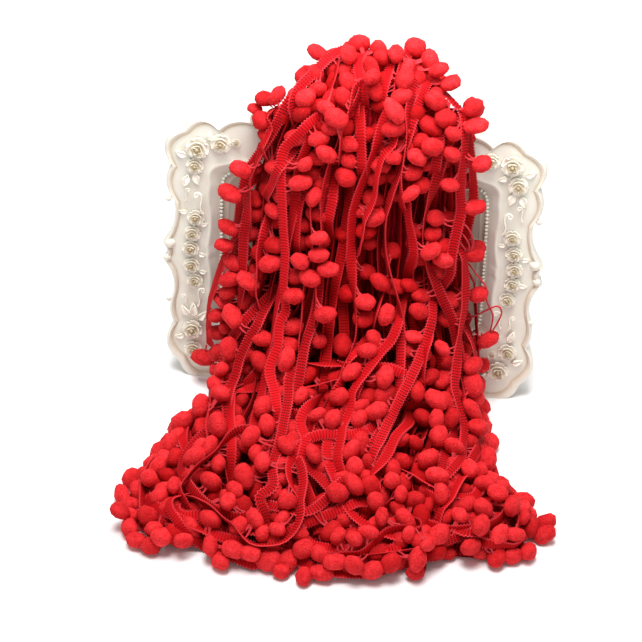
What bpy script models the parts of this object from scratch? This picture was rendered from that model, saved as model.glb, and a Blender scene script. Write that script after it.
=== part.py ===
"""Pompom trim draped over a standing picture frame.

A long hank of woven tape, edged with yarn pompoms, hangs over the top edge of a plain scalloped
picture frame and runs down its front into a loose heap. X is across the frame, Y points from the
heap to the frame and Z is up. The origin is on the floor, under the middle of the heap.
"""

import copy
import math
from collections import namedtuple

import bmesh
import bpy
import numpy as np
from mathutils import Matrix, Vector
from mathutils.bvhtree import BVHTree

MM = 0.001  # the tables and sizes below are in millimetres

GAP = 0.4  # between neighbouring solids

# The picture frame, in its own plane: u across from its middle, v up from its feet, w into it.
FRAME_LEAN = math.radians(6)
FRAME_FOOT_Y = 80.0  # where its front plane meets the floor
FRAME_DEPTH = 12.0
OPENING_WIDTH = 152.0
OPENING_HEIGHT = 97.0
OPENING_MIDDLE_V = 91.0
OPENING_SQUARENESS = 9  # the power of the rounded rectangle
PANEL_FRONT_W = 7.0
PANEL_THICKNESS = 2.0
BOARD_THICKNESS = 3.0
BOARD_LAP = 8.0  # how far the back board passes the opening
LEG_THICKNESS = 3.0
LEG_TOP_WIDTH = 30.0
LEG_FOOT_WIDTH = 44.0
LEG_TOP_V = 100.0
LEG_SPREAD = math.radians(24)  # between the leg and the back board

# Half of the frame's outline, from the top's middle round to the foot's middle. Each row is the
# start of an arc, and bulge is how far the arc to the next row stands out from its chord.
Scallop = namedtuple("Scallop", "u v bulge")
SCALLOPS = (
    Scallop(0, 179, 1.5),
    Scallop(30, 174, 5),
    Scallop(61, 172, 2.5),
    Scallop(80, 167, 6),
    Scallop(100, 163, 6.5),
    Scallop(106, 143, 4),
    Scallop(105, 119, -3),
    Scallop(112.5, 91, -2.5),
    Scallop(112.5, 80, -3),
    Scallop(107, 56, 2),
    Scallop(106.5, 36, 6),
    Scallop(103.5, 9, 5),
    Scallop(86, -2, 1),
    Scallop(60, 2, 2),
    Scallop(30, 3, 1.5),
    Scallop(0, 1, 0),
)
STEPS_PER_SCALLOP = 3

# The moulding's section: reach runs from the opening (0) to the outline (1).
Moulding = namedtuple("Moulding", "reach w")
MOULDING = (
    Moulding(0.0, FRAME_DEPTH),
    Moulding(0.0, 5.0),
    Moulding(0.3, 0.5),
    Moulding(0.8, 0.8),
    Moulding(0.93, 0.0),
    Moulding(1.0, 3.0),
    Moulding(0.98, FRAME_DEPTH),
)

# The bulk of the hank, section by section, from the tail behind the frame to the toe of the heap.
# A section is a D: its crown is at outer, and its flat side, of twice half_width, is at inner.
Section = namedtuple("Section", "outer_y outer_z inner_y inner_z mid_x half_width")
BULK = (
    Section(129, 113, 114, 115, 8, 24),
    Section(136, 128, 115, 130, 8, 32),
    Section(138, 155, 117, 158, 8, 36),
    Section(134, 182, 119, 180, 8, 36),
    Section(124, 202, 116, 187, 8, 34),
    Section(107, 210, 107, 188, 7, 34),
    Section(94, 205, 97, 186, 7, 40),
    Section(84, 194, 95, 179, 7, 52),
    Section(76, 172, 94.5, 163, 6, 58),
    Section(69, 136, 91, 128, 3, 64),
    Section(58, 101, 88.4, 90, 2, 66),
    Section(42, 70, 82.4, 25, 3, 72),
    Section(14, 43, 60, 0, 4, 76),
    Section(-20, 29, 16, 0, -4, 85),
    Section(-50, 19, -34, 0, 4, 104),
    Section(-68, 12, -62, 0, 6, 105),
    Section(-79, 7, -77, 0, 2, 88),
    Section(-86, 2, -85, 0, 4, 58),
)
CREST_ROW = 5  # where the hank tops the frame
BULK_SQUARENESS = 2.6
ROWS_PER_SECTION = 2
COLUMNS = 36
STRANDS = 8  # the bulk's ridges, side by side
STRAND_RELIEF = 0.13  # of a section's depth, from the ridges' tops down
EDGE_MARGIN = 7.0  # between a run's middle and the bulk's edge

# The trim: a woven tape with pompoms along one edge.
TAPE_WIDTH = 6.0
TAPE_THICKNESS = 1.2
TAPE_STEP = 13.0
TAPE_LIFT = 5.0  # of its middle above the bulk
LIFT_STEP = 1.0
MOST_LIFTS = 40
STEEPEST = 0.7
BEAD_STEP = 3.0
BEAD_RADIUS = 0.9
POMPOM_PITCH = 15.5
POMPOM_RADIUS = 5.5
POMPOM_SPREAD = 0.5  # how far a radius strays from that
POMPOM_ROOT = 1.6  # how deep the tape's edge sits in its pompoms
MOST_RISE = 3.3  # of a pompom's middle above its tape's
RISE_STEP = 0.3
PIECE_POMPOMS = 6  # about how many pompoms a run is cut into pieces by
LEAST_STRETCH = 2.0  # between two rows of a tape's corners

# Each run of trim, in the order in which it is laid. Side is the edge that carries the pompoms, and
# path lists places on the bulk: the distance across it from its middle line, and the distance down
# it from the crest.
Run = namedtuple("Run", "side path")
RUNS = (
    Run(1, ((-34, -76), (-33, 0), (-46, 30), (-56, 62), (-60, 106), (-66, 146), (-76, 178), (-82, 235))),
    Run(1, ((-16, -82), (-17, 0), (-28, 38), (-35, 84), (-35, 118), (-43, 160), (-48, 196), (-36, 250))),
    Run(1, ((-2, -70), (-1, 0), (-12, 40), (-18, 78), (-17, 140), (-24, 174), (-28, 220), (-32, 275))),
    Run(1, ((14, -80), (15, 0), (8, 36), (1, 72), (0, 108), (4, 160), (-6, 196), (0, 262))),
    Run(1, ((32, -74), (31, 0), (26, 36), (19, 78), (20, 112), (30, 150), (30, 186), (24, 250))),
    Run(1, ((46, -40), (48, 28), (44, 60), (40, 102), (50, 132), (66, 166), (68, 210), (62, 268))),
    Run(1, ((62, 40), (68, 74), (72, 106), (80, 140), (92, 170), (94, 206), (84, 240))),
    Run(-1, ((-64, 50), (-74, 110), (-84, 142), (-96, 168), (-98, 196), (-100, 226))),
    Run(-1, ((-120, 200), (-120, 240), (-110, 272), (-78, 290), (-52, 298), (-24, 300))),
    Run(-1, ((-10, 302), (20, 304), (52, 302), (84, 294), (120, 270), (120, 236), (110, 200))),
    Run(-1, ((-58, 214), (-72, 232), (-84, 256), (-72, 276), (-50, 284), (-34, 268))),
    Run(1, ((12, 176), (4, 205), (2, 240), (10, 276), (36, 290), (60, 284))),
    Run(1, ((-6, 290), (-22, 262), (-10, 232), (14, 226), (34, 206))),
    Run(-1, ((42, 236), (56, 256), (80, 262), (86, 238), (74, 214))),
    Run(1, ((-60, 262), (-52, 240), (-64, 206), (-48, 188))),
    Run(1, ((-50, 268), (-16, 280), (14, 256), (30, 272))),
    Run(-1, ((38, 268), (60, 282), (90, 276), (104, 248), (98, 218))),
)


def clear_scene():
    for old in list(bpy.data.objects):
        bpy.data.objects.remove(old, do_unlink=True)


def make_collection(name):
    collection = bpy.data.collections.new(name)
    bpy.context.scene.collection.children.link(collection)
    return collection


def make_material(name, colour, roughness):
    material = bpy.data.materials.new(name)
    material.use_nodes = True
    shader = material.node_tree.nodes["Principled BSDF"]
    shader.inputs["Base Color"].default_value = (*colour, 1)
    shader.inputs["Roughness"].default_value = roughness
    shader.inputs["Metallic"].default_value = 0
    return material


def add_object(name, bm, collection, material, parent=None):
    """Turn bm, in millimetres, into the object called name."""
    bmesh.ops.scale(bm, vec=(MM, MM, MM), verts=bm.verts)
    bmesh.ops.recalc_face_normals(bm, faces=bm.faces)
    mesh = bpy.data.meshes.new(name)
    bm.to_mesh(mesh)
    bm.free()
    if material:
        mesh.materials.append(material)
    piece = bpy.data.objects.new(name, mesh)
    piece.parent = parent
    collection.objects.link(piece)
    return piece


def add_boolean(piece, other, operation):
    modifier = piece.modifiers.new(operation.title(), "BOOLEAN")
    modifier.operation = operation
    modifier.solver = "EXACT"
    modifier.object = other


def add_cutter(name, bm, collection):
    cutter = add_object(name, bm, collection, None)
    cutter.hide_render = True
    cutter.display_type = "WIRE"
    return cutter


def skin(bm, rings, closed):
    """Join rings of equally many points with faces, and the last ring to the first if closed."""
    loops = [[bm.verts.new(point) for point in ring] for ring in rings]
    pairs = list(zip(loops, loops[1:] + loops[:1]))
    for one, two in pairs if closed else pairs[:-1]:
        for k in range(len(one)):
            n = (k + 1) % len(one)
            bm.faces.new((one[k], one[n], two[n], two[k]))
    if not closed:
        bm.faces.new(loops[0])
        bm.faces.new(loops[-1][::-1])


def catmull_rom(rows, at):
    """The value at the float index at of a smooth curve through rows."""
    i = min(int(at), len(rows) - 2)
    t = at - i
    before, here, there, after = (rows[min(max(k, 0), len(rows) - 1)] for k in range(i - 1, i + 3))
    return 0.5 * (
        2 * here
        + (there - before) * t
        + (2 * before - 5 * here + 4 * there - after) * t**2
        + (3 * here - before - 3 * there + after) * t**3
    )


# ---- the picture frame


def scallop_outline():
    """The frame's outline as (u, v) points, clockwise from the top's middle."""
    half = []
    for one, two in zip(SCALLOPS, SCALLOPS[1:]):
        chord = np.array([two.u - one.u, two.v - one.v], float)
        outward = np.array([-chord[1], chord[0]]) / np.hypot(*chord)
        for k in range(STEPS_PER_SCALLOP):
            t = k / STEPS_PER_SCALLOP
            half.append(np.array([one.u, one.v]) + chord * t + outward * one.bulge * 4 * t * (1 - t))
    half.append(np.array([SCALLOPS[-1].u, SCALLOPS[-1].v], float))
    mirrored = [point * (-1, 1) for point in half[-2:0:-1]]
    return half + mirrored


def opening_point(u, v):
    """Where the ray from the opening's middle towards (u, v) crosses the opening's edge."""
    middle = np.array([0, OPENING_MIDDLE_V])
    ray = np.array([u, v]) - middle
    n = OPENING_SQUARENESS
    across, up = abs(ray[0]) / (OPENING_WIDTH / 2), abs(ray[1]) / (OPENING_HEIGHT / 2)
    return middle + ray / (across**n + up**n) ** (1 / n)


def frame_point(u, v, w):
    return (u, w, v)


def clear_of_frame(centre, radius):
    """Whether a ball is in front of the frame, behind it, or above it."""
    y, z = centre[1] - FRAME_FOOT_Y, centre[2]
    w = y * math.cos(FRAME_LEAN) - z * math.sin(FRAME_LEAN)
    v = y * math.sin(FRAME_LEAN) + z * math.cos(FRAME_LEAN)
    behind = FRAME_DEPTH + BOARD_THICKNESS + 2 * GAP
    room = radius + GAP
    return w < -room or w > behind + room or v > SCALLOPS[0].v + room


def moulding(parts, cutters, resin, stand):
    rings = []
    for u, v in scallop_outline():
        inner = opening_point(u, v)
        ring = []
        for row in MOULDING:
            place = inner + (np.array([u, v]) - inner) * row.reach
            ring.append(frame_point(*place, row.w))
        rings.append(ring)
    bm = bmesh.new()
    skin(bm, rings, closed=True)
    piece = add_object("frame_moulding", bm, parts, resin, stand)
    floor = bmesh.new()
    bmesh.ops.create_cube(floor, size=1)
    bmesh.ops.scale(floor, vec=(300, 300, 40), verts=floor.verts)
    bmesh.ops.translate(floor, vec=(0, FRAME_FOOT_Y, -20), verts=floor.verts)
    add_boolean(piece, add_cutter("floor_cutter", floor, cutters), "DIFFERENCE")


def picture_panel(parts, material, stand):
    """A panel that fills the opening behind the moulding's inner edge."""
    middle = np.array([0, OPENING_MIDDLE_V])
    shrink = 1 - 2 * GAP / OPENING_HEIGHT
    edge = [middle + (opening_point(u, v) - middle) * shrink for u, v in scallop_outline()]
    bm = bmesh.new()
    faces = (PANEL_FRONT_W, PANEL_FRONT_W + PANEL_THICKNESS)
    skin(bm, [[frame_point(*point, w) for point in edge] for w in faces], closed=False)
    add_object("frame_picture_panel", bm, parts, material, stand)


def back_board(parts, material, stand):
    bm = bmesh.new()
    bmesh.ops.create_cube(bm, size=1)
    size = (OPENING_WIDTH + 2 * BOARD_LAP, BOARD_THICKNESS, OPENING_HEIGHT + 2 * BOARD_LAP)
    bmesh.ops.scale(bm, vec=size, verts=bm.verts)
    place = frame_point(0, OPENING_MIDDLE_V, FRAME_DEPTH + GAP + BOARD_THICKNESS / 2)
    bmesh.ops.translate(bm, vec=place, verts=bm.verts)
    add_object("frame_back_board", bm, parts, material, stand)


def easel_leg(parts, cutters, material, stand):
    """A tapered board, hinged on the back board, whose foot is cut level with the floor."""
    bm = bmesh.new()
    length = (LEG_TOP_V + 20) / math.cos(LEG_SPREAD + FRAME_LEAN)
    bmesh.ops.create_cube(bm, size=1)
    bmesh.ops.scale(bm, vec=(LEG_TOP_WIDTH, LEG_THICKNESS, length), verts=bm.verts)
    bmesh.ops.translate(bm, vec=(0, LEG_THICKNESS / 2, -length / 2), verts=bm.verts)
    for vert in bm.verts:
        if vert.co.z < -1:
            vert.co.x *= LEG_FOOT_WIDTH / LEG_TOP_WIDTH
    turn = Matrix.Rotation(LEG_SPREAD, 3, "X")
    bmesh.ops.rotate(bm, cent=(0, 0, 0), matrix=turn, verts=bm.verts)
    back = FRAME_DEPTH + GAP + BOARD_THICKNESS + GAP
    bmesh.ops.translate(bm, vec=frame_point(0, LEG_TOP_V, back), verts=bm.verts)
    piece = add_object("frame_easel_leg", bm, parts, material, stand)
    add_boolean(piece, cutters.objects["floor_cutter"], "DIFFERENCE")


def build_frame(parts, cutters):
    resin = make_material("cast resin", (0.80, 0.76, 0.66), 0.45)
    paper = make_material("backing paper", (0.55, 0.52, 0.48), 0.6)
    fibreboard = make_material("fibreboard", (0.25, 0.20, 0.15), 0.8)
    stand = bpy.data.objects.new("frame_stand", None)
    stand.location = (0, FRAME_FOOT_Y * MM, 0)
    stand.rotation_euler = (-FRAME_LEAN, 0, 0)
    parts.objects.link(stand)
    moulding(parts, cutters, resin, stand)
    picture_panel(parts, paper, stand)
    back_board(parts, fibreboard, stand)
    easel_leg(parts, cutters, fibreboard, stand)


# ---- the hank's bulk


def d_section(row, count, relief):
    """Points along a section's crown, from its left corner to its right one."""
    points = []
    for k in range(count):
        turn = math.pi * k / (count - 1)
        across = -math.copysign(abs(math.cos(turn)) ** (2 / BULK_SQUARENESS), math.cos(turn))
        rise = abs(math.sin(turn)) ** (2 / BULK_SQUARENESS) if 0 < k < count - 1 else 0
        rise *= 1 - relief * (1 + math.cos(2 * STRANDS * turn)) / 2
        outer_y, outer_z, inner_y, inner_z, mid_x, half_width = row
        points.append(
            (
                mid_x + half_width * across,
                inner_y + (outer_y - inner_y) * rise,
                inner_z + (outer_z - inner_z) * rise,
            )
        )
    return points


def bulk_sections(rows_per_section, count, relief):
    table = np.array(BULK, float)
    steps = (len(BULK) - 1) * rows_per_section
    rows = [catmull_rom(table, k / rows_per_section) for k in range(steps + 1)]
    for row in rows:
        row[3] = max(row[3], 0)
    return np.array([d_section(row, count, relief) for row in rows])


class Surface:
    """The bulk's outside over its ridges, read by distance across it and down it from the crest."""

    FINENESS = 6

    def __init__(self):
        self.grid = bulk_sections(self.FINENESS, 61, 0)
        middle = self.grid[:, 30]
        steps = np.linalg.norm(np.diff(middle, axis=0), axis=1)
        self.fall = np.concatenate([[0], np.cumsum(steps)])
        self.fall -= self.fall[CREST_ROW * self.FINENESS]
        steps = np.linalg.norm(np.diff(self.grid, axis=1), axis=2)
        self.across = np.concatenate([np.zeros((len(steps), 1)), np.cumsum(steps, axis=1)], axis=1)
        self.across -= self.across[:, 30:31]

    def on_row(self, i, across):
        return np.array([np.interp(across, self.across[i], self.grid[i, :, k]) for k in range(3)])

    def keep_on(self, across, fall):
        """The distance across, held to where the section still faces outwards."""
        at = round(np.interp(fall, self.fall, np.arange(len(self.fall))))
        return np.clip(across, self.across[at, 0] + EDGE_MARGIN, self.across[at, -1] - EDGE_MARGIN)

    def point(self, across, fall):
        at = np.interp(fall, self.fall, np.arange(len(self.fall)))
        i = min(int(at), len(self.fall) - 2)
        return self.on_row(i, across) * (i + 1 - at) + self.on_row(i + 1, across) * (at - i)

    def axes(self, across, fall):
        """Unit vectors across, down and out of the surface."""
        side = self.point(across + 5, fall) - self.point(across - 5, fall)
        down = self.point(across, fall + 5) - self.point(across, fall - 5)
        out = np.cross(down, side)
        out /= np.linalg.norm(out)
        side /= np.linalg.norm(side)
        return side, np.cross(side, out), out


def build_bulk(parts, yarn):
    bm = bmesh.new()
    skin(bm, bulk_sections(ROWS_PER_SECTION, COLUMNS, STRAND_RELIEF), closed=False)
    bmesh.ops.triangulate(bm, faces=bm.faces)
    shell = BVHTree.FromBMesh(bm)
    add_object("trim_bulk", bm, parts, yarn)
    return shell


# ---- the runs of trim


def uneven(k):
    """An even spread of numbers from -1 to 1, one for each k."""
    return 2 * ((k * 0.6180339887) % 1) - 1


class Tape:
    """A run's centre line, with the directions across it and out of its face."""

    def __init__(self, run, surface, obstacles):
        self.run = run
        path = np.array(run.path, float)
        fine = [catmull_rom(path, t) for t in np.linspace(0, len(path) - 1, 8 * len(path))]
        steps = np.linalg.norm(np.diff(fine, axis=0), axis=1)
        along = np.concatenate([[0], np.cumsum(steps)])
        places = np.linspace(0, along[-1], round(along[-1] / TAPE_STEP) + 1)
        across, falls = (np.interp(places, along, np.array(fine)[:, k]) for k in (0, 1))
        across = [surface.keep_on(*place) for place in zip(across, falls)]
        self.feet = np.array([surface.point(*place) for place in zip(across, falls)])
        self.outs = np.array([surface.axes(*place)[2] for place in zip(across, falls)])
        self.lifts = np.full(len(places), TAPE_LIFT)
        self.settle()
        for _ in range(MOST_LIFTS):
            if not self.rise_over(obstacles):
                break

    def settle(self):
        """Work out the line and its directions from its feet and its lifts."""
        self.points = self.feet + self.outs * self.lifts[:, None]
        along = np.gradient(self.points, axis=0)
        self.sides = np.cross(self.outs, along)
        self.sides /= np.linalg.norm(self.sides, axis=1)[:, None]
        steps = np.linalg.norm(np.diff(self.points, axis=0), axis=1)
        self.lengths = np.concatenate([[0], np.cumsum(steps)])

    def rise_over(self, obstacles):
        """Lift the line where it is too near an obstacle, and say whether it had to be."""
        if len(obstacles) == 0:
            return False
        distances = self.distances(obstacles[:, :3]) - obstacles[:, 3] - GAP
        tight = np.where(distances.min(axis=0) < 0)[0]
        for k in tight:
            segment = distances[:, k].argmin()
            self.lifts[segment : segment + 2] += LIFT_STEP / 2
        self.lifts[:-1] = np.maximum(self.lifts[:-1], self.lifts[1:] - STEEPEST * TAPE_STEP)
        self.lifts[1:] = np.maximum(self.lifts[1:], self.lifts[:-1] - STEEPEST * TAPE_STEP)
        self.settle()
        return len(tight) > 0

    def at(self, length):
        pick = [
            np.array([np.interp(length, self.lengths, values[:, k]) for k in range(3)])
            for values in (self.points, self.sides, self.outs)
        ]
        return pick[0], *(vector / np.linalg.norm(vector) for vector in pick[1:])

    def distances(self, centres):
        """From each centre to each stretch of the strip, as rows of stretches."""
        rows = []
        for k in range(len(self.points) - 1):
            chord = self.points[k + 1] - self.points[k]
            offsets = centres - self.points[k]
            t = np.clip(offsets @ chord / (chord @ chord), 0, 1)[:, None]
            offsets = offsets - t * chord
            sides = self.sides[k] * (1 - t) + self.sides[k + 1] * t
            outs = self.outs[k] * (1 - t) + self.outs[k + 1] * t
            across = np.sum(offsets * sides, axis=1)
            above = np.sum(offsets * outs, axis=1)
            rest = np.linalg.norm(offsets - across[:, None] * sides - above[:, None] * outs, axis=1)
            across = np.maximum(abs(across) - TAPE_WIDTH / 2, 0)
            above = np.maximum(abs(above) - TAPE_THICKNESS / 2, 0)
            rows.append(np.sqrt(across**2 + above**2 + rest**2))
        return np.array(rows)

    def beads(self):
        """Balls along the strip's middle and edges, which later runs keep clear of."""
        balls = []
        for length in np.arange(0, self.lengths[-1], BEAD_STEP):
            point, side, _ = self.at(length)
            for shift in (-1, 0, 1):
                place = point + side * shift * (TAPE_WIDTH - BEAD_RADIUS) / 2
                balls.append([*place, BEAD_RADIUS])
        return np.array(balls)

    def piece(self, start, end):
        """The strip between two lengths, as a strip of its own."""
        inner = (self.lengths > start + LEAST_STRETCH) & (self.lengths < end - LEAST_STRETCH)
        rows = [self.at(length) for length in (start, *self.lengths[inner], end)]
        strip = copy.copy(self)
        strip.points, strip.sides, strip.outs = (np.array(values) for values in zip(*rows))
        steps = np.linalg.norm(np.diff(strip.points, axis=0), axis=1)
        strip.lengths = np.concatenate([[0], np.cumsum(steps)])
        return strip

    def pieces(self):
        """The strip cut into a few short ones, each with its number of places for pompoms."""
        places = int(self.lengths[-1] / POMPOM_PITCH)
        count = max(1, round(places / PIECE_POMPOMS))
        cuts = [round(places * k / count) for k in range(count + 1)]
        ends = [cut * POMPOM_PITCH for cut in cuts[:-1]] + [self.lengths[-1] + GAP / 2]
        ends[0] -= GAP / 2
        strips = [self.piece(a + GAP / 2, b - GAP / 2) for a, b in zip(ends, ends[1:])]
        return strips, np.diff(cuts)


def tape_mesh(tape):
    bm = bmesh.new()
    edges = [
        [bm.verts.new(point + side * TAPE_WIDTH / 2 * sign) for sign in (-1, 1)]
        for point, side in zip(tape.points, tape.sides)
    ]
    for (a, b), (c, d) in zip(edges, edges[1:]):
        bm.faces.new((a, b, d, c))
    return bm


def place_pompoms(tape, count, neighbours, shell, obstacles, first):
    """A strip's pompoms, as rows of a centre, a radius and the way to what each one lies on."""
    placed = np.empty((0, 7))
    for k in range(count):
        radius = POMPOM_RADIUS + POMPOM_SPREAD * uneven(first + k)
        point, side, out = tape.at((k + 0.5) * POMPOM_PITCH)
        for rise in np.arange(0, MOST_RISE, RISE_STEP):
            reach = TAPE_WIDTH / 2 + math.sqrt((radius - POMPOM_ROOT) ** 2 - rise**2)
            centre = point + side * tape.run.side * reach + out * rise
            on_floor = centre[2] < radius + GAP
            centre[2] = radius if on_floor else centre[2]
            others = np.concatenate([obstacles, placed[:, :4]])
            gaps = np.linalg.norm(others[:, :3] - centre, axis=1) - others[:, 3]
            beside = min((strip.distances(centre[None]).min() for strip in neighbours), default=math.inf)
            nearest, _, _, depth = shell.find_nearest(Vector(centre))
            free = (
                min(gaps.min(initial=math.inf), beside, depth) > radius + GAP
                and tape.distances(centre[None]).min() < radius - POMPOM_ROOT / 2
                and clear_of_frame(centre, radius)
            )
            if free:
                down = (0, 0, -1) if on_floor else (nearest - Vector(centre)).normalized()
                placed = np.vstack([placed, [*centre, radius, *down]])
                break
    return placed


def ball_mesh(pompoms):
    """Balls, each with a corner turned to what it lies on."""
    bm = bmesh.new()
    for x, y, z, radius, *down in pompoms:
        ball = bmesh.ops.create_icosphere(bm, subdivisions=1, radius=radius)
        turn = Vector((0, 0, -1)).rotation_difference(Vector(down)).to_matrix()
        bmesh.ops.rotate(bm, cent=(0, 0, 0), matrix=turn, verts=ball["verts"])
        bmesh.ops.translate(bm, vec=(x, y, z), verts=ball["verts"])
    return bm


def build_runs(parts, cutters, yarn, shell):
    surface = Surface()
    obstacles = np.empty((0, 4))
    for k, run in enumerate(RUNS):
        tape = Tape(run, surface, obstacles)
        strips, counts = tape.pieces()
        for n, (strip, count) in enumerate(zip(strips, counts)):
            neighbours = [other for other in strips if other is not strip]
            pompoms = place_pompoms(strip, count, neighbours, shell, obstacles, 100 * k + 10 * n)
            obstacles = np.concatenate([obstacles, pompoms[:, :4]])
            name = f"trim_run_{k + 1:02d}_{n + 1}"
            piece = add_object(name, tape_mesh(strip), parts, yarn)
            solid = piece.modifiers.new("Thickness", "SOLIDIFY")
            solid.thickness = TAPE_THICKNESS * MM
            solid.offset = 0
            cutter = add_cutter(f"pompoms_{name}", ball_mesh(pompoms), cutters)
            add_boolean(piece, cutter, "UNION")
            print(name, len(pompoms), "pompoms")
        obstacles = np.concatenate([obstacles, tape.beads()])


def build():
    clear_scene()
    parts = make_collection("pompom_trim_on_picture_frame")
    cutters = make_collection("cutters")
    yarn = make_material("red polyester yarn", (0.83, 0.03, 0.03), 0.9)
    build_frame(parts, cutters)
    shell = build_bulk(parts, yarn)
    build_runs(parts, cutters, yarn, shell)


build()
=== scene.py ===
import math

import bpy
import numpy as np
from mathutils import Matrix, Vector
from mathutils.bvhtree import BVHTree
from mathutils.kdtree import KDTree


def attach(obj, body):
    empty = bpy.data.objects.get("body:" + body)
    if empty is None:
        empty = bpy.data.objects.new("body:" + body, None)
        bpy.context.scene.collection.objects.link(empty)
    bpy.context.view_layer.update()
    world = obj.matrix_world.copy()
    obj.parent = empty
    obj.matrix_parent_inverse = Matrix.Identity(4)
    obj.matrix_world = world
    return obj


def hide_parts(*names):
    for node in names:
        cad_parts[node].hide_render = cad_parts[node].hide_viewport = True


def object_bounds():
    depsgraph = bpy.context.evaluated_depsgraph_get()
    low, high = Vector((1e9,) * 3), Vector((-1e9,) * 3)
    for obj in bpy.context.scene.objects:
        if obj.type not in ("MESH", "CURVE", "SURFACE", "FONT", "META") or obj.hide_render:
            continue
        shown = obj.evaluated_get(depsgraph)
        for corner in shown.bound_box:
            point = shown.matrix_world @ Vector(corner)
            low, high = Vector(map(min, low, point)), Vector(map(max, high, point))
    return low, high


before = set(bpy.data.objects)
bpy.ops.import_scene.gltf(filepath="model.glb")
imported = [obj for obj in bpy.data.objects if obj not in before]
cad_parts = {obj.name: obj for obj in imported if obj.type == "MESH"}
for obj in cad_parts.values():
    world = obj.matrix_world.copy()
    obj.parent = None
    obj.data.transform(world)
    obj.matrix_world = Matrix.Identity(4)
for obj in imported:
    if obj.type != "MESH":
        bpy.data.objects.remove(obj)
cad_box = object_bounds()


# ---- The studio. A white floor runs back out of sight, lit softly from all round, with one wide lamp
# above and a small one near the hank's crest. The camera is a long lens a little over a metre away,
# looking steeply down.

MM = 0.001  # sizes are in millimetres until a mesh is made of them
FLOOR_SIZE = 8  # metres
WORLD_LIGHT = 0.42
SUN_STRENGTH = 2.0
SUN_WIDTH = math.radians(22)
SUN_WAY = (0.06, 0.14, -1.1)
NEAR_LAMP_POWER = 1.75
NEAR_LAMP_SIZE = 300
NEAR_LAMP_PLACE = (25, 50, 430)
NEAR_LAMP_AIM = (0, 90, 200)
CAMERA_TURN = math.radians(5.0)
CAMERA_HEIGHT = math.radians(37.3)
CAMERA_ROLL = math.radians(1.1)
CAMERA_DISTANCE = 1300
CAMERA_AIM = (0, 40, 80)
CAMERA_REACH = 20  # metres
LENS = 127.3
SENSOR = 36
SHIFT = (-0.0343, 0.0016)


def linear(hex_colour):
    """An sRGB hex colour as linear red, green, blue and alpha."""
    parts = [int(hex_colour[k : k + 2], 16) / 255 for k in (1, 3, 5)]
    return (*[c / 12.92 if c <= 0.04045 else ((c + 0.055) / 1.055) ** 2.4 for c in parts], 1)


def new_material(name, colour, roughness, sockets=None):
    """A material and its shader, with any further sockets of the shader set by name."""
    material = bpy.data.materials.new(name)
    material.use_nodes = True
    material.diffuse_color = linear(colour)
    shader = material.node_tree.nodes["Principled BSDF"]
    for socket, value in {"Base Color": linear(colour), "Roughness": roughness, **(sockets or {})}.items():
        shader.inputs[socket].default_value = value
    return material, shader


def add_node(material, kind, settings, inputs, output=0):
    """One output of a new node with its settings, each input given a value or linked to an output."""
    new = material.node_tree.nodes.new("ShaderNode" + kind)
    for name, value in settings.items():
        setattr(new, name, value)
    for name, value in inputs.items():
        if isinstance(value, bpy.types.NodeSocket):
            material.node_tree.links.new(value, new.inputs[name])
        else:
            new.inputs[name].default_value = value
    return new.outputs[output]


def placed(name, data):
    """A new object in the scene that holds a lamp, a camera or a mesh."""
    holder = bpy.data.objects.new(name, data)
    bpy.context.scene.collection.objects.link(holder)
    return holder


bpy.ops.object.select_all(action="DESELECT")
bpy.ops.mesh.primitive_plane_add(size=FLOOR_SIZE)
floor = bpy.context.object
floor.name = "studio_floor"
floor_paint, _ = new_material("matt white studio paint", "#FBFBFB", 1.0)
floor.data.materials.append(floor_paint)

world = bpy.data.worlds.new("studio light")
bpy.context.scene.world = world
world.use_nodes = True
world.node_tree.nodes["Background"].inputs["Color"].default_value = (1, 1, 1, 1)
world.node_tree.nodes["Background"].inputs["Strength"].default_value = WORLD_LIGHT

lamp = bpy.data.lights.new("softbox_overhead", "SUN")
lamp.energy, lamp.angle = SUN_STRENGTH, SUN_WIDTH
placed(lamp.name, lamp).rotation_euler = Vector(SUN_WAY).to_track_quat("-Z", "Y").to_euler()

lamp = bpy.data.lights.new("softbox_near", "AREA")
lamp.energy, lamp.size = NEAR_LAMP_POWER, NEAR_LAMP_SIZE * MM
lamp_way = Vector(NEAR_LAMP_AIM) - Vector(NEAR_LAMP_PLACE)
placed(lamp.name, lamp).matrix_world = (
    Matrix.Translation(Vector(NEAR_LAMP_PLACE) * MM) @ lamp_way.to_track_quat("-Z", "Y").to_matrix().to_4x4()
)

away = Vector(
    (
        math.sin(CAMERA_TURN) * math.cos(CAMERA_HEIGHT),
        -math.cos(CAMERA_TURN) * math.cos(CAMERA_HEIGHT),
        math.sin(CAMERA_HEIGHT),
    )
)
level = Vector((math.cos(CAMERA_TURN), math.sin(CAMERA_TURN), 0))
upright = away.cross(level)
rightwards = level * math.cos(CAMERA_ROLL) + upright * math.sin(CAMERA_ROLL)
upwards = upright * math.cos(CAMERA_ROLL) - level * math.sin(CAMERA_ROLL)
lens = bpy.data.cameras.new("studio_camera")
lens.lens, lens.sensor_width, lens.clip_end = LENS, SENSOR, CAMERA_REACH
lens.shift_x, lens.shift_y = SHIFT
camera = placed("studio_camera", lens)
camera_place = (Vector(CAMERA_AIM) + away * CAMERA_DISTANCE) * MM
camera_turn = Matrix((rightwards, upwards, away)).transposed().to_4x4()
camera.matrix_world = Matrix.Translation(camera_place) @ camera_turn
bpy.context.scene.camera = camera
bpy.context.scene.view_settings.view_transform = "Standard"


# ---- The frame's moulding, cast in one piece of resin and sprayed cream. It has a scalloped outline with
# a rolled lip, a broad plateau, and a smooth cove that falls to the opening. It leans back on its leg.

FRAME_LEAN = math.radians(6)
FRAME_FOOT_Y = 80.0
OPENING = (152.0, 97.0)
OPENING_MIDDLE = np.array([0, 91.0])
OPENING_SQUARENESS = 14  # the power of the rounded rectangle
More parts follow.
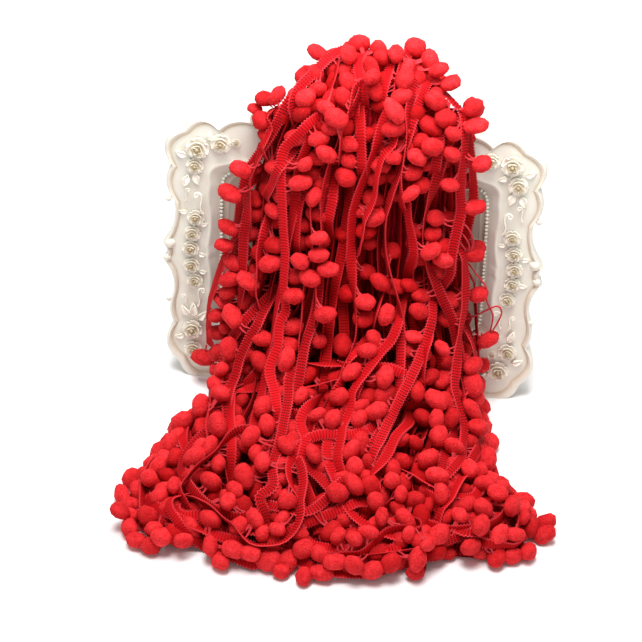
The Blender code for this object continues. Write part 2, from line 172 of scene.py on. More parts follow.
# Half the outline, from the top's middle to the foot's: u, v and how far the arc that follows stands out.
SCALLOPS = (
    (0, 179, 1.5), (30, 175, 5), (61, 175.5, 3), (80, 169.5, 6.5), (99.5, 167.5, 7.3), (106.5, 143.5, 4),
    (105, 120, -3), (112.5, 91, -2.5), (112.5, 80, -3), (107, 56, 2), (106.5, 36, 6), (103.5, 9, 5),
    (86, -2, 1), (60, 2, 2), (30, 3, 1.5), (0, 1, 0),
)  # fmt: skip
STEPS_PER_SCALLOP = 9
# The section: reach from the opening (0) to the outline (1), depth behind the front plane, and how much of
# the brown wash has stayed there.
MOULDING = (
    (0.0, 12.0, 0.4), (0.0, 6.95, 0.4), (-0.08, 6.9, 0.4), (-0.08, 6.5, 0.5), (0.0, 6.1, 0.5),
    (0.02, 5.6, 0.3), (0.05, 5.2, 0.2), (0.08, 4.7, 0.25), (0.11, 3.6, 0.1), (0.15, 2.6, 0), (0.19, 1.8, 0),
    (0.22, 1.0, 0), (0.25, 0.2, 0), (0.28, 0.15, 0), (0.31, 0.8, 0.1), (0.4, 0.8, 0), (0.6, 0.8, 0),
    (0.82, 0.9, 0), (0.875, 1.2, 0.25), (0.892, 1.5, 0.9), (0.91, 0.9, 0.5), (0.93, 0.1, 0.1),
    (0.955, -0.2, 0), (0.982, 0.4, 0.1), (1.0, 2.0, 0.3), (1.0, 5.0, 0.2), (0.975, 12.0, 0.2),
)  # fmt: skip


def opening_point(u, v):
    """Where the ray from the opening's middle towards (u, v) crosses the opening's edge."""
    ray = np.array([u, v]) - OPENING_MIDDLE
    across, up = abs(ray[0]) / (OPENING[0] / 2), abs(ray[1]) / (OPENING[1] / 2)
    stretch = (across**OPENING_SQUARENESS + up**OPENING_SQUARENESS) ** (1 / OPENING_SQUARENESS)
    return OPENING_MIDDLE + ray / stretch


def leant(points):
    """Points of the frame's own plane (u, w, v) as x, y, z on the leaning frame."""
    u, w, v = np.moveaxis(np.asarray(points, float), -1, 0)
    c, s = math.cos(FRAME_LEAN), math.sin(FRAME_LEAN)
    return np.stack([u, FRAME_FOOT_Y + v * s + w * c, v * c - w * s], axis=-1)


def grid_piece(name, points):
    """A grid primitive whose corners are moved to rows of points."""
    bpy.ops.object.select_all(action="DESELECT")
    bpy.ops.mesh.primitive_grid_add(x_subdivisions=points.shape[1] - 1, y_subdivisions=points.shape[0] - 1)
    piece = bpy.context.object
    piece.name = piece.data.name = name
    piece.data.vertices.foreach_set("co", (np.asarray(points, float) * MM).ravel())
    piece.data.update()
    return piece


def add_values(piece, name, values):
    """Give each of the mesh's corners a number that its material reads."""
    values = np.array(values, np.float32)
    piece.data.attributes.new(name, "FLOAT", "POINT").data.foreach_set("value", values)


def pick(*pieces):
    """Select these pieces alone, with the first one active."""
    bpy.ops.object.select_all(action="DESELECT")
    for piece in pieces:
        piece.select_set(True)
    bpy.context.view_layer.objects.active = pieces[0]


def close_and_smooth(piece, angle, seams=True):
    """Merge any seams, turn the faces outwards and shade them smooth under an angle."""
    pick(piece)
    bpy.ops.object.mode_set(mode="EDIT")
    bpy.ops.mesh.select_all(action="SELECT")
    if seams:
        bpy.ops.mesh.remove_doubles(threshold=0.01 * MM)
    bpy.ops.mesh.normals_make_consistent(inside=False)
    bpy.ops.object.mode_set(mode="OBJECT")
    bpy.ops.object.shade_smooth_by_angle(angle=math.radians(angle))


outline = []
for (u0, v0, bulge), (u1, v1, _) in zip(SCALLOPS, SCALLOPS[1:]):
    chord = np.array([u1 - u0, v1 - v0], float)
    outward = np.array([-chord[1], chord[0]]) / np.hypot(*chord)
    for k in range(STEPS_PER_SCALLOP):
        t = k / STEPS_PER_SCALLOP
        outline.append(np.array([u0, v0]) + chord * t + outward * bulge * 4 * t * (1 - t))
outline.append(np.array(SCALLOPS[-1][:2], float))
outline += [point * (-1, 1) for point in outline[-2:0:-1]]

section = MOULDING + MOULDING[:1]
ring_rows = []
for u, v in outline + outline[:1]:
    inner = opening_point(u, v)
    spots = [inner + (np.array([u, v]) - inner) * reach for reach, _, _ in section]
    ring_rows.append([(spot[0], depth, spot[1]) for spot, (_, depth, _) in zip(spots, section)])
ring_points = leant(ring_rows)
ring_points[..., 2] = np.maximum(ring_points[..., 2], 0)
moulding = grid_piece("frame_moulding_detailed", ring_points)
add_values(moulding, "wash", np.tile([wash for _, _, wash in section], len(ring_points)))
close_and_smooth(moulding, 40)

# Sprayed resin is smooth and satin, a little uneven in patches of about 10 mm and in its 1 mm grit, with a
# thin brown wash caught along the rolled lip.
RESIN_PAINT = "#E6E1D6"
RESIN_DARKER, RESIN_LIGHTER = "#DDD9C9", "#EFECE2"
RESIN_WASH = "#D2C3A9"
MIX, MIXED = {"data_type": "RGBA"}, 2  # the settings and the output of a node that mixes colours


def mottled(material, scale, detail, darker, lighter):
    """A fine mottle between two colours: the colour, the mottle by itself and the coordinates it reads."""
    place = add_node(material, "TexCoord", {}, {}, "Object")
    mottle = add_node(material, "TexNoise", {}, {"Vector": place, "Scale": scale, "Detail": detail})
    tone = add_node(material, "Mix", MIX, {0: mottle, 6: linear(darker), 7: linear(lighter)}, MIXED)
    return tone, mottle, place


def link(shader, outputs):
    """Link outputs of nodes to the shader's sockets by name."""
    for socket, output in outputs.items():
        shader.id_data.links.new(output, shader.inputs[socket])


resin, shader = new_material("cast resin, cream spray paint", RESIN_PAINT, 0.42)
tone, _, place = mottled(resin, 90.0, 3.0, RESIN_DARKER, RESIN_LIGHTER)
wash = add_node(resin, "Attribute", {"attribute_name": "wash"}, {}, "Fac")
tone = add_node(resin, "Mix", MIX, {0: wash, 6: tone, 7: linear(RESIN_WASH)}, MIXED)
grit = add_node(resin, "TexNoise", {}, {"Vector": place, "Scale": 900.0, "Detail": 2.0})
bump = add_node(resin, "Bump", {}, {"Height": grit, "Strength": 0.12, "Distance": 0.2 * MM})
link(shader, {"Base Color": tone, "Normal": bump})
moulding.data.materials.append(resin)
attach(moulding, "root")
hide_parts("frame_moulding")


# ---- The row of beads around the opening and the knobs in which the outline's scrolls end, both cast with
# the moulding. The beads are small round pearls that touch.

BEAD_PITCH = 2.4
BEAD_RADIUS = 1.15
BEAD_DEPTH = 4.3
BEAD_REACH = 1.6  # from the opening's edge out to the beads' middles
KNOB_DEPTH = 1
PEARL_FLATNESS = 0.8
# The knobs: u, v and radius.
SCROLL_ENDS = (
    (-57.6, 176.5, 3.2), (-107.7, 91.5, 3.4), (-109.7, 81.5, 2.6), (-108.3, 121.2, 1.9), (-109.3, 53.2, 1.7),
    (107.4, 93.1, 3.2), (109.1, 82.1, 2.6), (108.0, 122.2, 2.1), (107.8, 54.0, 1.8),
)  # fmt: skip


def distances(points):
    """How far along a path each of its points lies."""
    return np.concatenate([[0], np.cumsum(np.linalg.norm(np.diff(points, axis=0), axis=1))])


def read_at(places, along, rows):
    """Rows read off at places along them."""
    return np.stack([np.interp(places, along, column) for column in np.transpose(rows)], axis=-1)


def unit(vectors):
    return vectors / np.linalg.norm(vectors, axis=1)[:, None]


def mesh_piece(name, corners, faces):
    """A new piece from its corners, in metres, and its faces."""
    mesh = bpy.data.meshes.new(name)
    mesh.from_pydata(np.asarray(corners).tolist(), [], faces)
    return placed(name, mesh)


def repeated(name, source, matrices):
    """One smooth piece with a copy of the source at each matrix."""
    corners = np.array([corner.co for corner in source.data.vertices])
    places = [corners @ np.array(m)[:3, :3].T + np.array(m)[:3, 3] for m in matrices]
    count = len(corners)
    faces = [list(face.vertices) for face in source.data.polygons]
    faces = [[corner + k * count for corner in face] for k in range(len(matrices)) for face in faces]
    piece = mesh_piece(name, np.concatenate(places), faces)
    for face in piece.data.polygons:
        face.use_smooth = True
    return piece


def scaled_at(point, sizes, turn):
    """The matrix that sizes, turns and then places a copy, in millimetres."""
    return Matrix.Translation(Vector(point) * MM) @ turn.to_4x4() @ Matrix.Diagonal((*[s * MM for s in sizes], 1))


angles = np.linspace(0, 2 * math.pi, 1441)
edge = np.array([opening_point(*(OPENING_MIDDLE + (math.cos(a), math.sin(a)))) for a in angles])
along = distances(edge)
edge = read_at(np.linspace(0, along[-1], round(along[-1] / BEAD_PITCH), endpoint=False), along, edge)
edge = edge + unit(edge - OPENING_MIDDLE) * BEAD_REACH
bpy.ops.object.select_all(action="DESELECT")
bpy.ops.mesh.primitive_ico_sphere_add(subdivisions=2, radius=1)
pearl = bpy.context.object
frame_turn = Matrix.Rotation(-FRAME_LEAN, 3, "X")
for name, spots in (
    ("frame_bead_row", [(u, BEAD_DEPTH, v, BEAD_RADIUS) for u, v in edge]),
    ("frame_scroll_ends", [(u, KNOB_DEPTH, v, radius) for u, v, radius in SCROLL_ENDS]),
):
    matrices = [scaled_at(leant((u, w, v)), (r, r * PEARL_FLATNESS, r), frame_turn) for u, w, v, r in spots]
    piece = repeated(name, pearl, matrices)
    piece.data.materials.append(resin)
    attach(piece, "root")
bpy.data.objects.remove(pearl)


# ---- Flowers on the frame's two sides: open roses of a few round petals, with leaves and curled tendrils.
# They are cast with the moulding, and their raised edges are brushed with a warmer ivory.

# Each rose: u, v and how wide it is.
ROSES = (
    (-90.8, 155.9, 14.3), (-77.3, 159.6, 12.6), (-92.4, 144.2, 11.0), (-68.4, 160.4, 6.0),
    (-92.2, 110.0, 10.8), (-94.3, 99.5, 10.6), (-95.4, 89.2, 10.8), (-95.0, 77.8, 10.6), (-93.1, 67.4, 10.4),
    (-94.9, 33.4, 13.0), (-94.5, 19.6, 11.6), (90.2, 157.7, 13.4), (94.4, 144.9, 12.0), (78.0, 159.7, 10.8),
    (93.0, 110.9, 10.8), (94.7, 100.2, 10.6), (95.6, 89.8, 10.6), (95.0, 80.0, 10.4), (92.6, 69.2, 10.2),
    (94.9, 33.0, 11.6), (90.2, 19.4, 13.6), (85.7, 30.4, 6.0),
)  # fmt: skip
# Each leaf: u, v, length and the way it points, in degrees from across.
LEAVES = (
    (-97.9, 134.0, 8, 250), (-91.5, 135.6, 8, 290), (-100.2, 151.4, 7, 160), (-83.6, 164.0, 6, 80),
    (-98.8, 46.2, 8, 125), (-93.8, 47.2, 9, 95), (-89.0, 43.2, 8, 50), (-102.5, 28.0, 6, 190),
    (-99.6, 113.6, 5, 175), (-87.4, 106.0, 5, 10), (-88.6, 85.3, 5, 350), (-88.2, 73.7, 5, 0),
    (98.0, 134.8, 8, 290), (91.0, 136.0, 8, 250), (100.8, 153.2, 7, 20), (85.4, 149.0, 6, 200),
    (82.0, 15.5, 7, 210), (101.2, 26.4, 7, 20), (96.5, 43.6, 8, 70), (101.2, 79.2, 5, 350),
    (87.2, 105.7, 5, 190), (101.6, 96.8, 5, 10), (88.0, 44.0, 7, 110),
)  # fmt: skip
# Each tendril: u, v, length and the hand it curls to.
TENDRILS = (
    (-89.1, 121.5, 13.0, 1), (-89.8, 57.6, 12.0, -1), (-98.7, 54.1, 8.0, 1), (-97.4, 125.8, 8.0, -1),
    (88.8, 121.4, 13.0, -1), (97.2, 127.8, 9.0, 1), (95.5, 54.2, 9.0, -1), (88.6, 56.5, 11.0, 1),
)  # fmt: skip
PLATEAU = 0.8  # how deep the moulding's flat front lies
ROSE_TURN = 40  # degrees from one rose to the next
# A rose's rings of petals, for a rose of radius 1: petals, reach, half width, steepness in degrees, height.
PETAL_RINGS = (
    (5, 0.98, 0.60, 14, 0.00), (5, 0.74, 0.50, 34, 0.12), (4, 0.50, 0.40, 56, 0.24), (3, 0.32, 0.30, 74, 0.34),
)  # fmt: skip
PETAL_THICKNESS = 0.09
PETAL_TAPER = 0.25
PETAL_ROUNDING = 0.10
PETAL_CUP = 0.16
PETAL_ROLL = 0.10  # of its outer rim, downwards
RING_STEP = 0.05  # outwards from ring to ring
RING_TURN = 0.1  # of a petal, from ring to ring
HEART_RADIUS, HEART_HEIGHT = 0.2, 0.5
HEART_REACH = 0.85  # how far the darker wash spreads in a rose
LEAF_HALF_WIDTH = 0.27
LEAF_THICKNESS = 0.08
LEAF_TEETH = 0.12
TENDRIL_RADIUS = 0.06


def thickened(piece, thickness):
    bpy.context.view_layer.objects.active = piece
    wall = piece.modifiers.new("Wall", "SOLIDIFY")
    wall.thickness = thickness
    wall.offset = 0
    bpy.ops.object.modifier_apply(modifier=wall.name)
    return piece


petals = []
across, out = np.meshgrid(np.linspace(-1, 1, 5), np.linspace(0, 1, 5))
for ring, (count, reach, half, steep, height) in enumerate(PETAL_RINGS):
    for k in range(count):
        width = half * np.sqrt(np.maximum(out, 0)) * (1 - PETAL_TAPER * out**3)
        from_middle = reach * (out - PETAL_ROUNDING * across**2 * out)
        climb = math.radians(steep)
        x = from_middle * math.cos(climb) + RING_STEP * ring
        y = width * across
        z = height + from_middle * math.sin(climb) + PETAL_CUP * across**2 * out - PETAL_ROLL * out**4
        turn = 2 * math.pi * (k + 0.5 * (ring % 2) + RING_TURN * ring) / count
        c, s = math.cos(turn), math.sin(turn)
        points = np.stack([x * c - y * s, x * s + y * c, z], axis=-1)
        petals.append(thickened(grid_piece("petal", points / MM), PETAL_THICKNESS))
bpy.ops.object.select_all(action="DESELECT")
bpy.ops.mesh.primitive_ico_sphere_add(
    subdivisions=2, radius=HEART_RADIUS, location=(0, 0, HEART_HEIGHT), scale=(1, 1, 1.2)
)
bpy.ops.object.transform_apply()
petals.append(bpy.context.object)
pick(*petals)
bpy.ops.object.join()
rose = petals[0]

grow, cross = np.meshgrid(np.linspace(0, 1, 8), np.linspace(-1, 1, 5))
leaf_half = LEAF_HALF_WIDTH * np.sin(np.pi * grow**0.8) * (1 - LEAF_TEETH * np.sin(14 * grow) * abs(cross))
leaf_rise = 0.05 + 0.16 * np.sin(np.pi * grow) - 0.10 * (1 - abs(cross)) + 0.05 * abs(cross)
leaf_points = np.stack([grow - 0.5, cross * leaf_half, leaf_rise], axis=-1)
leaf = thickened(grid_piece("leaf", leaf_points / MM), LEAF_THICKNESS)


def tube(path, radii, sides=6):
    """Rings of corners round a path, closed at both ends, and the faces that join them."""
    path = np.asarray(path, float)
    way = unit(np.gradient(path, axis=0))
    spare = np.where(abs(way[:, 2:3]) > 0.9, [[1.0, 0, 0]], [[0, 0, 1.0]])
    one = unit(np.cross(way, spare))
    two = np.cross(way, one)
    angles = np.linspace(0, 2 * math.pi, sides, endpoint=False)
    rings = path[:, None] + radii[:, None, None] * (
        one[:, None] * np.cos(angles)[None, :, None] + two[:, None] * np.sin(angles)[None, :, None]
    )
    faces = [
        (k * sides + i, k * sides + (i + 1) % sides, (k + 1) * sides + (i + 1) % sides, (k + 1) * sides + i)
        for k in range(len(path) - 1)
        for i in range(sides)
    ]
    last = (len(path) - 1) * sides
    faces += [tuple(range(sides))[::-1], tuple(range(last, last + sides))]
    return rings.reshape(-1, 3), faces


grown = np.linspace(0, 1, 24)
heading = -4.0 * grown + 9.5 * grown**3  # a gentle bend one way and then a tight curl the other
curl = np.stack([np.cumsum(np.cos(heading)), np.cumsum(np.sin(heading)), 2.2 + 2.2 * grown], axis=-1) / len(grown)
curl[:, :2] -= (curl[:, :2].min(axis=0) + curl[:, :2].max(axis=0)) / 2
curl /= np.ptp(curl[:, 0])
tendril = mesh_piece("tendril", *tube(curl, TENDRIL_RADIUS * (1 - 0.45 * grown)))

# Brushed resin: satin like the moulding, in dabs of about 2 mm, with a brown wash that has settled in each
# rose's heart.
IVORY = "#E6E0C4"
IVORY_DARKER, IVORY_LIGHTER = "#F5EFDC", "#FFFDF4"
HEART_WASH = "#AC9663"
ivory, shader = new_material("cast resin, ivory dry-brushed paint", IVORY, 0.38)
tone, _, _ = mottled(ivory, 420.0, 4.0, IVORY_DARKER, IVORY_LIGHTER)
heart = add_node(ivory, "Attribute", {"attribute_name": "heart"}, {}, "Fac")
tone = add_node(ivory, "Mix", MIX, {0: heart, 6: tone, 7: linear(HEART_WASH)}, MIXED)
link(shader, {"Base Color": tone})

# A copy lies on the plateau: its own z points out of the frame's front, which is minus w.
front_turn = Matrix.Rotation(-FRAME_LEAN, 4, "X") @ Matrix.Rotation(math.radians(90), 4, "X")
for name, source, spots in (
    ("frame_roses", rose, [(u, v, (w / 2,) * 3, ROSE_TURN * k) for k, (u, v, w) in enumerate(ROSES)]),
    ("frame_leaves", leaf, [(u, v, (length,) * 3, turn) for u, v, length, turn in LEAVES]),
    ("frame_tendrils", tendril, [(u, v, (w, w * hand, w), 90 + 45 * hand) for u, v, w, hand in TENDRILS]),
):
    matrices = [
        scaled_at(leant((u, PLATEAU, v)), sizes, front_turn @ Matrix.Rotation(math.radians(turn), 4, "Z"))
        for u, v, sizes, turn in spots
    ]
    ornament = repeated(name, source, matrices)
    if source == rose:
        hearts = [max(0, 1 - math.hypot(*corner.co[:2]) / HEART_REACH) for corner in rose.data.vertices]
        add_values(ornament, "heart", np.tile(hearts, len(matrices)))
    bpy.data.objects.remove(source)
    close_and_smooth(ornament, 60)
    ornament.data.materials.append(ivory)
    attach(ornament, "root")


# ---- The panel in the opening, a plain grey-beige card behind a clear sheet, and the fibreboard back with
# its leg, cut from sheet and faced with brown flock. They drop in from behind and are the CAD's own solids.

# Card shows its pulp, in soft patches of about 15 mm, through the sheet's clear gloss.
CARD, CARD_DARKER, CARD_LIGHTER = "#B9A898", "#B1A091", "#C3B4A5"
card, shader = new_material(
    "grey card behind acrylic sheet", CARD, 0.35, {"Coat Weight": 0.4, "Coat Roughness": 0.08}
)
tone, _, _ = mottled(card, 60.0, 5.0, CARD_DARKER, CARD_LIGHTER)
link(shader, {"Base Color": tone})

# Flock is quite matt, with a short nap that lies in tufts under a millimetre across.
FLOCK, FLOCK_DARKER, FLOCK_LIGHTER = "#4A3B2E", "#3A2D22", "#5E4C3B"
flock, shader = new_material("fibreboard faced with brown flock", FLOCK, 0.95)
tone, nap, _ = mottled(flock, 1400.0, 3.0, FLOCK_DARKER, FLOCK_LIGHTER)
bump = add_node(flock, "Bump", {}, {"Height": nap, "Strength": 0.5, "Distance": 0.3 * MM})
link(shader, {"Base Color": tone, "Normal": bump})
for name, facing in (("frame_picture_panel", card), ("frame_back_board", flock), ("frame_easel_leg", flock)):
    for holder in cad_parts[name].material_slots:
        holder.material = facing


# ---- The inside of the hank: turn upon turn of the same trim, pressed close. Only its edges show, dark with
# painted shade, between the outer runs, so it is one ridged body of red yarn under the layers that are laid on it.

# Sections from the tail behind the frame to the toe of the heap. Each is a D, with its crown at outer y, z
# and its flat side at inner y, z, and then its middle x and its half width.
BULK = (
    (129, 113, 114, 115, 8, 24), (136, 128, 115, 130, 8, 32), (138, 155, 117, 158, 8, 36),
    (134, 182, 119, 180, 8, 36), (124, 202, 116, 187, 8, 34), (107, 210, 107, 188, 7, 34),
    (94, 205, 97, 186, 7, 40), (84, 194, 95, 179, 7, 52), (76, 172, 94.5, 163, 6, 58),
    (69, 136, 91, 128, 3, 64), (58, 101, 88.4, 90, 2, 66), (42, 70, 82.4, 25, 3, 72), (14, 43, 60, 0, 4, 76),
    (-20, 29, 16, 0, -4, 85), (-50, 19, -34, 0, 4, 104), (-68, 12, -62, 0, 6, 105), (-79, 7, -77, 0, 2, 88),
    (-86, 2, -85, 0, 4, 58),
)  # fmt: skip
CREST_ROW = 5
BULK_SQUARENESS = 2.6
FINENESS = 6  # rows to a section
TOE_SECTIONS = 2  # left out at the heap's toe, where pompoms lie on the bare floor
INSIDE_COLUMNS = 89
RIDGES = 15
RIDGE_RELIEF = 0.16
INSIDE_DEPTH = 0.28  # how far the ridged body lies inside the bulk, as a share of a section's depth
INSIDE_NARROWING = 0.35  # and of that share, how far its sides are drawn in


def catmull_rom(rows, at):
    """The value at the float index at of a smooth curve through rows."""
    i = min(int(at), len(rows) - 2)
    t = at - i
    before, here, there, after = (rows[min(max(k, 0), len(rows) - 1)] for k in range(i - 1, i + 3))
    return 0.5 * (
        2 * here
        + (there - before) * t
        + (2 * before - 5 * here + 4 * there - after) * t**2
        + (3 * here - before - 3 * there + after) * t**3
    )


def bulk_rows(columns, depth, relief):
    """The bulk's sections as rows of points, drawn in by depth and grooved by relief."""
    table = np.array(BULK, float)
    rows = [catmull_rom(table, k / FINENESS) for k in range((len(BULK) - 1) * FINENESS + 1)]
    turn = np.pi * np.arange(columns) / (columns - 1)
    across = -np.sign(np.cos(turn)) * abs(np.cos(turn)) ** (2 / BULK_SQUARENESS)
    rise = abs(np.sin(turn)) ** (2 / BULK_SQUARENESS)
    rise[[0, -1]] = 0
    rise = rise * (1 - depth - relief * (1 + np.cos(2 * RIDGES * turn)) / 2)
    grid = []
    for outer_y, outer_z, inner_y, inner_z, mid_x, half_width in rows:
        inner_z = max(inner_z, 0)
        x = mid_x + half_width * across * (1 - depth * INSIDE_NARROWING)
        y = inner_y + (outer_y - inner_y) * rise
        grid.append(np.stack([x, y, inner_z + (outer_z - inner_z) * rise], axis=-1))
    return np.array(grid)


inside_rows = bulk_rows(INSIDE_COLUMNS, INSIDE_DEPTH, RIDGE_RELIEF)[: -TOE_SECTIONS * FINENESS]
flat_side = np.linspace(inside_rows[:, -1], inside_rows[:, 0], 5, axis=1)
loops = np.concatenate([inside_rows, flat_side[:, 1:]], axis=1)
ends = [np.repeat(loops[k].mean(axis=0)[None], loops.shape[1], axis=0)[None] for k in (0, -1)]
inside = grid_piece("hank_inside", np.concatenate([ends[0], loops, ends[1]]))
close_and_smooth(inside, 60)

# Packed yarn edges: a deep red that is painted shade, quite matt, grooved every 2.6 mm along the hank where
# the tapes lie, with deeper painted shade in the grooves.
PACKED_YARN_SHADE, PACKED_GROOVE_SHADE, PACKED_RIDGE_SHADE = "#8E0A12", "#72060F", "#A40E1B"
packed, shader = new_material("polyester yarn, packed turns in painted shade", PACKED_YARN_SHADE, 0.95, {"Specular IOR Level": 0.05})
place = add_node(packed, "TexCoord", {}, {}, "Object")
wave = {"Vector": place, "Scale": 120.0, "Distortion": 3.0, "Detail": 2.0, "Detail Scale": 2.0}
grooves = add_node(packed, "TexWave", {"bands_direction": "X"}, wave, "Fac")
tone = add_node(packed, "Mix", MIX, {0: grooves, 6: linear(PACKED_GROOVE_SHADE), 7: linear(PACKED_RIDGE_SHADE)}, MIXED)
bump = add_node(packed, "Bump", {}, {"Height": grooves, "Strength": 0.8, "Distance": 1 * MM})
link(shader, {"Base Color": tone, "Normal": bump})
inside.data.materials.append(packed)
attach(inside, "root")
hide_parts("trim_bulk")


# ---- The tape: a woven polyester braid 6 mm wide, with ribs across one face, a grid of small holes on the
# other and a looped edge. It is one long length, folded back and forth over the frame's top edge.

TAPE_WIDTH = 6.0
TAPE_THICKNESS = 0.9
TAPE_LIP = 0.7  # the rounded edge, on either side of the faces
PICOT = 0.5  # how far the edge's loops stand out and in
PICOT_PITCH = 1.7  # a loop and a gap, and a rib and its groove
COLUMN_PITCH = 1.15  # between the net's warps
INNER_STEP = 1.8  # between the corners of the runs that hardly show

# The main runs, as the side their pompoms are on, how high they lie above the bulk, and points across the
# bulk from its middle and down it from its crest.
MAIN_RUNS = (
    (1, 5.5, ((-34, -100), (-33, 0), (-46, 30), (-56, 62), (-60, 106), (-66, 146), (-76, 178), (-82, 235))),
    (1, 5, ((-16, -100), (-17, 0), (-28, 38), (-35, 84), (-35, 118), (-43, 160), (-48, 196), (-36, 250))),
    (1, 5.5, ((-2, -100), (-1, 0), (-12, 40), (-18, 78), (-17, 140), (-24, 174), (-28, 220), (-32, 275))),
    (1, 5, ((14, -100), (15, 0), (8, 36), (1, 72), (0, 108), (4, 160), (-6, 196), (0, 262))),
    (1, 5.5, ((32, -100), (31, 0), (26, 36), (19, 78), (20, 112), (30, 150), (30, 186), (24, 250))),
    (1, 5, ((46, -40), (48, 28), (44, 60), (40, 102), (50, 132), (66, 166), (68, 210), (62, 268))),
    (1, 5, ((52, 8), (62, 40), (68, 74), (72, 106), (80, 140), (92, 170), (94, 206), (84, 240))),
    (-1, 5, ((-52, 14), (-64, 50), (-74, 110), (-84, 142), (-96, 168), (-98, 196), (-100, 226))),
    (-1, 5, ((-120, 200), (-120, 240), (-110, 272), (-78, 290), (-52, 298), (-24, 300))),
    (-1, 5, ((-10, 300), (20, 302), (50, 294), (78, 280), (100, 268), (112, 250), (116, 232), (108, 200))),
    (-1, 6, ((-58, 214), (-72, 232), (-84, 256), (-72, 276), (-50, 284), (-34, 268))),
    (1, 7, ((12, 176), (4, 205), (2, 240), (10, 276), (36, 290), (60, 284))),
    (1, 8, ((-6, 290), (-22, 262), (-10, 232), (14, 226), (34, 206))),
    (-1, 6, ((40, 232), (56, 254), (80, 262), (88, 238), (76, 214))),
    (1, 7, ((-60, 262), (-52, 240), (-64, 206), (-48, 188))),
    (1, 8, ((-50, 268), (-16, 280), (14, 256), (30, 272))),
    (-1, 6, ((38, 268), (60, 282), (90, 276), (104, 248), (98, 218))),
)  # fmt: skip
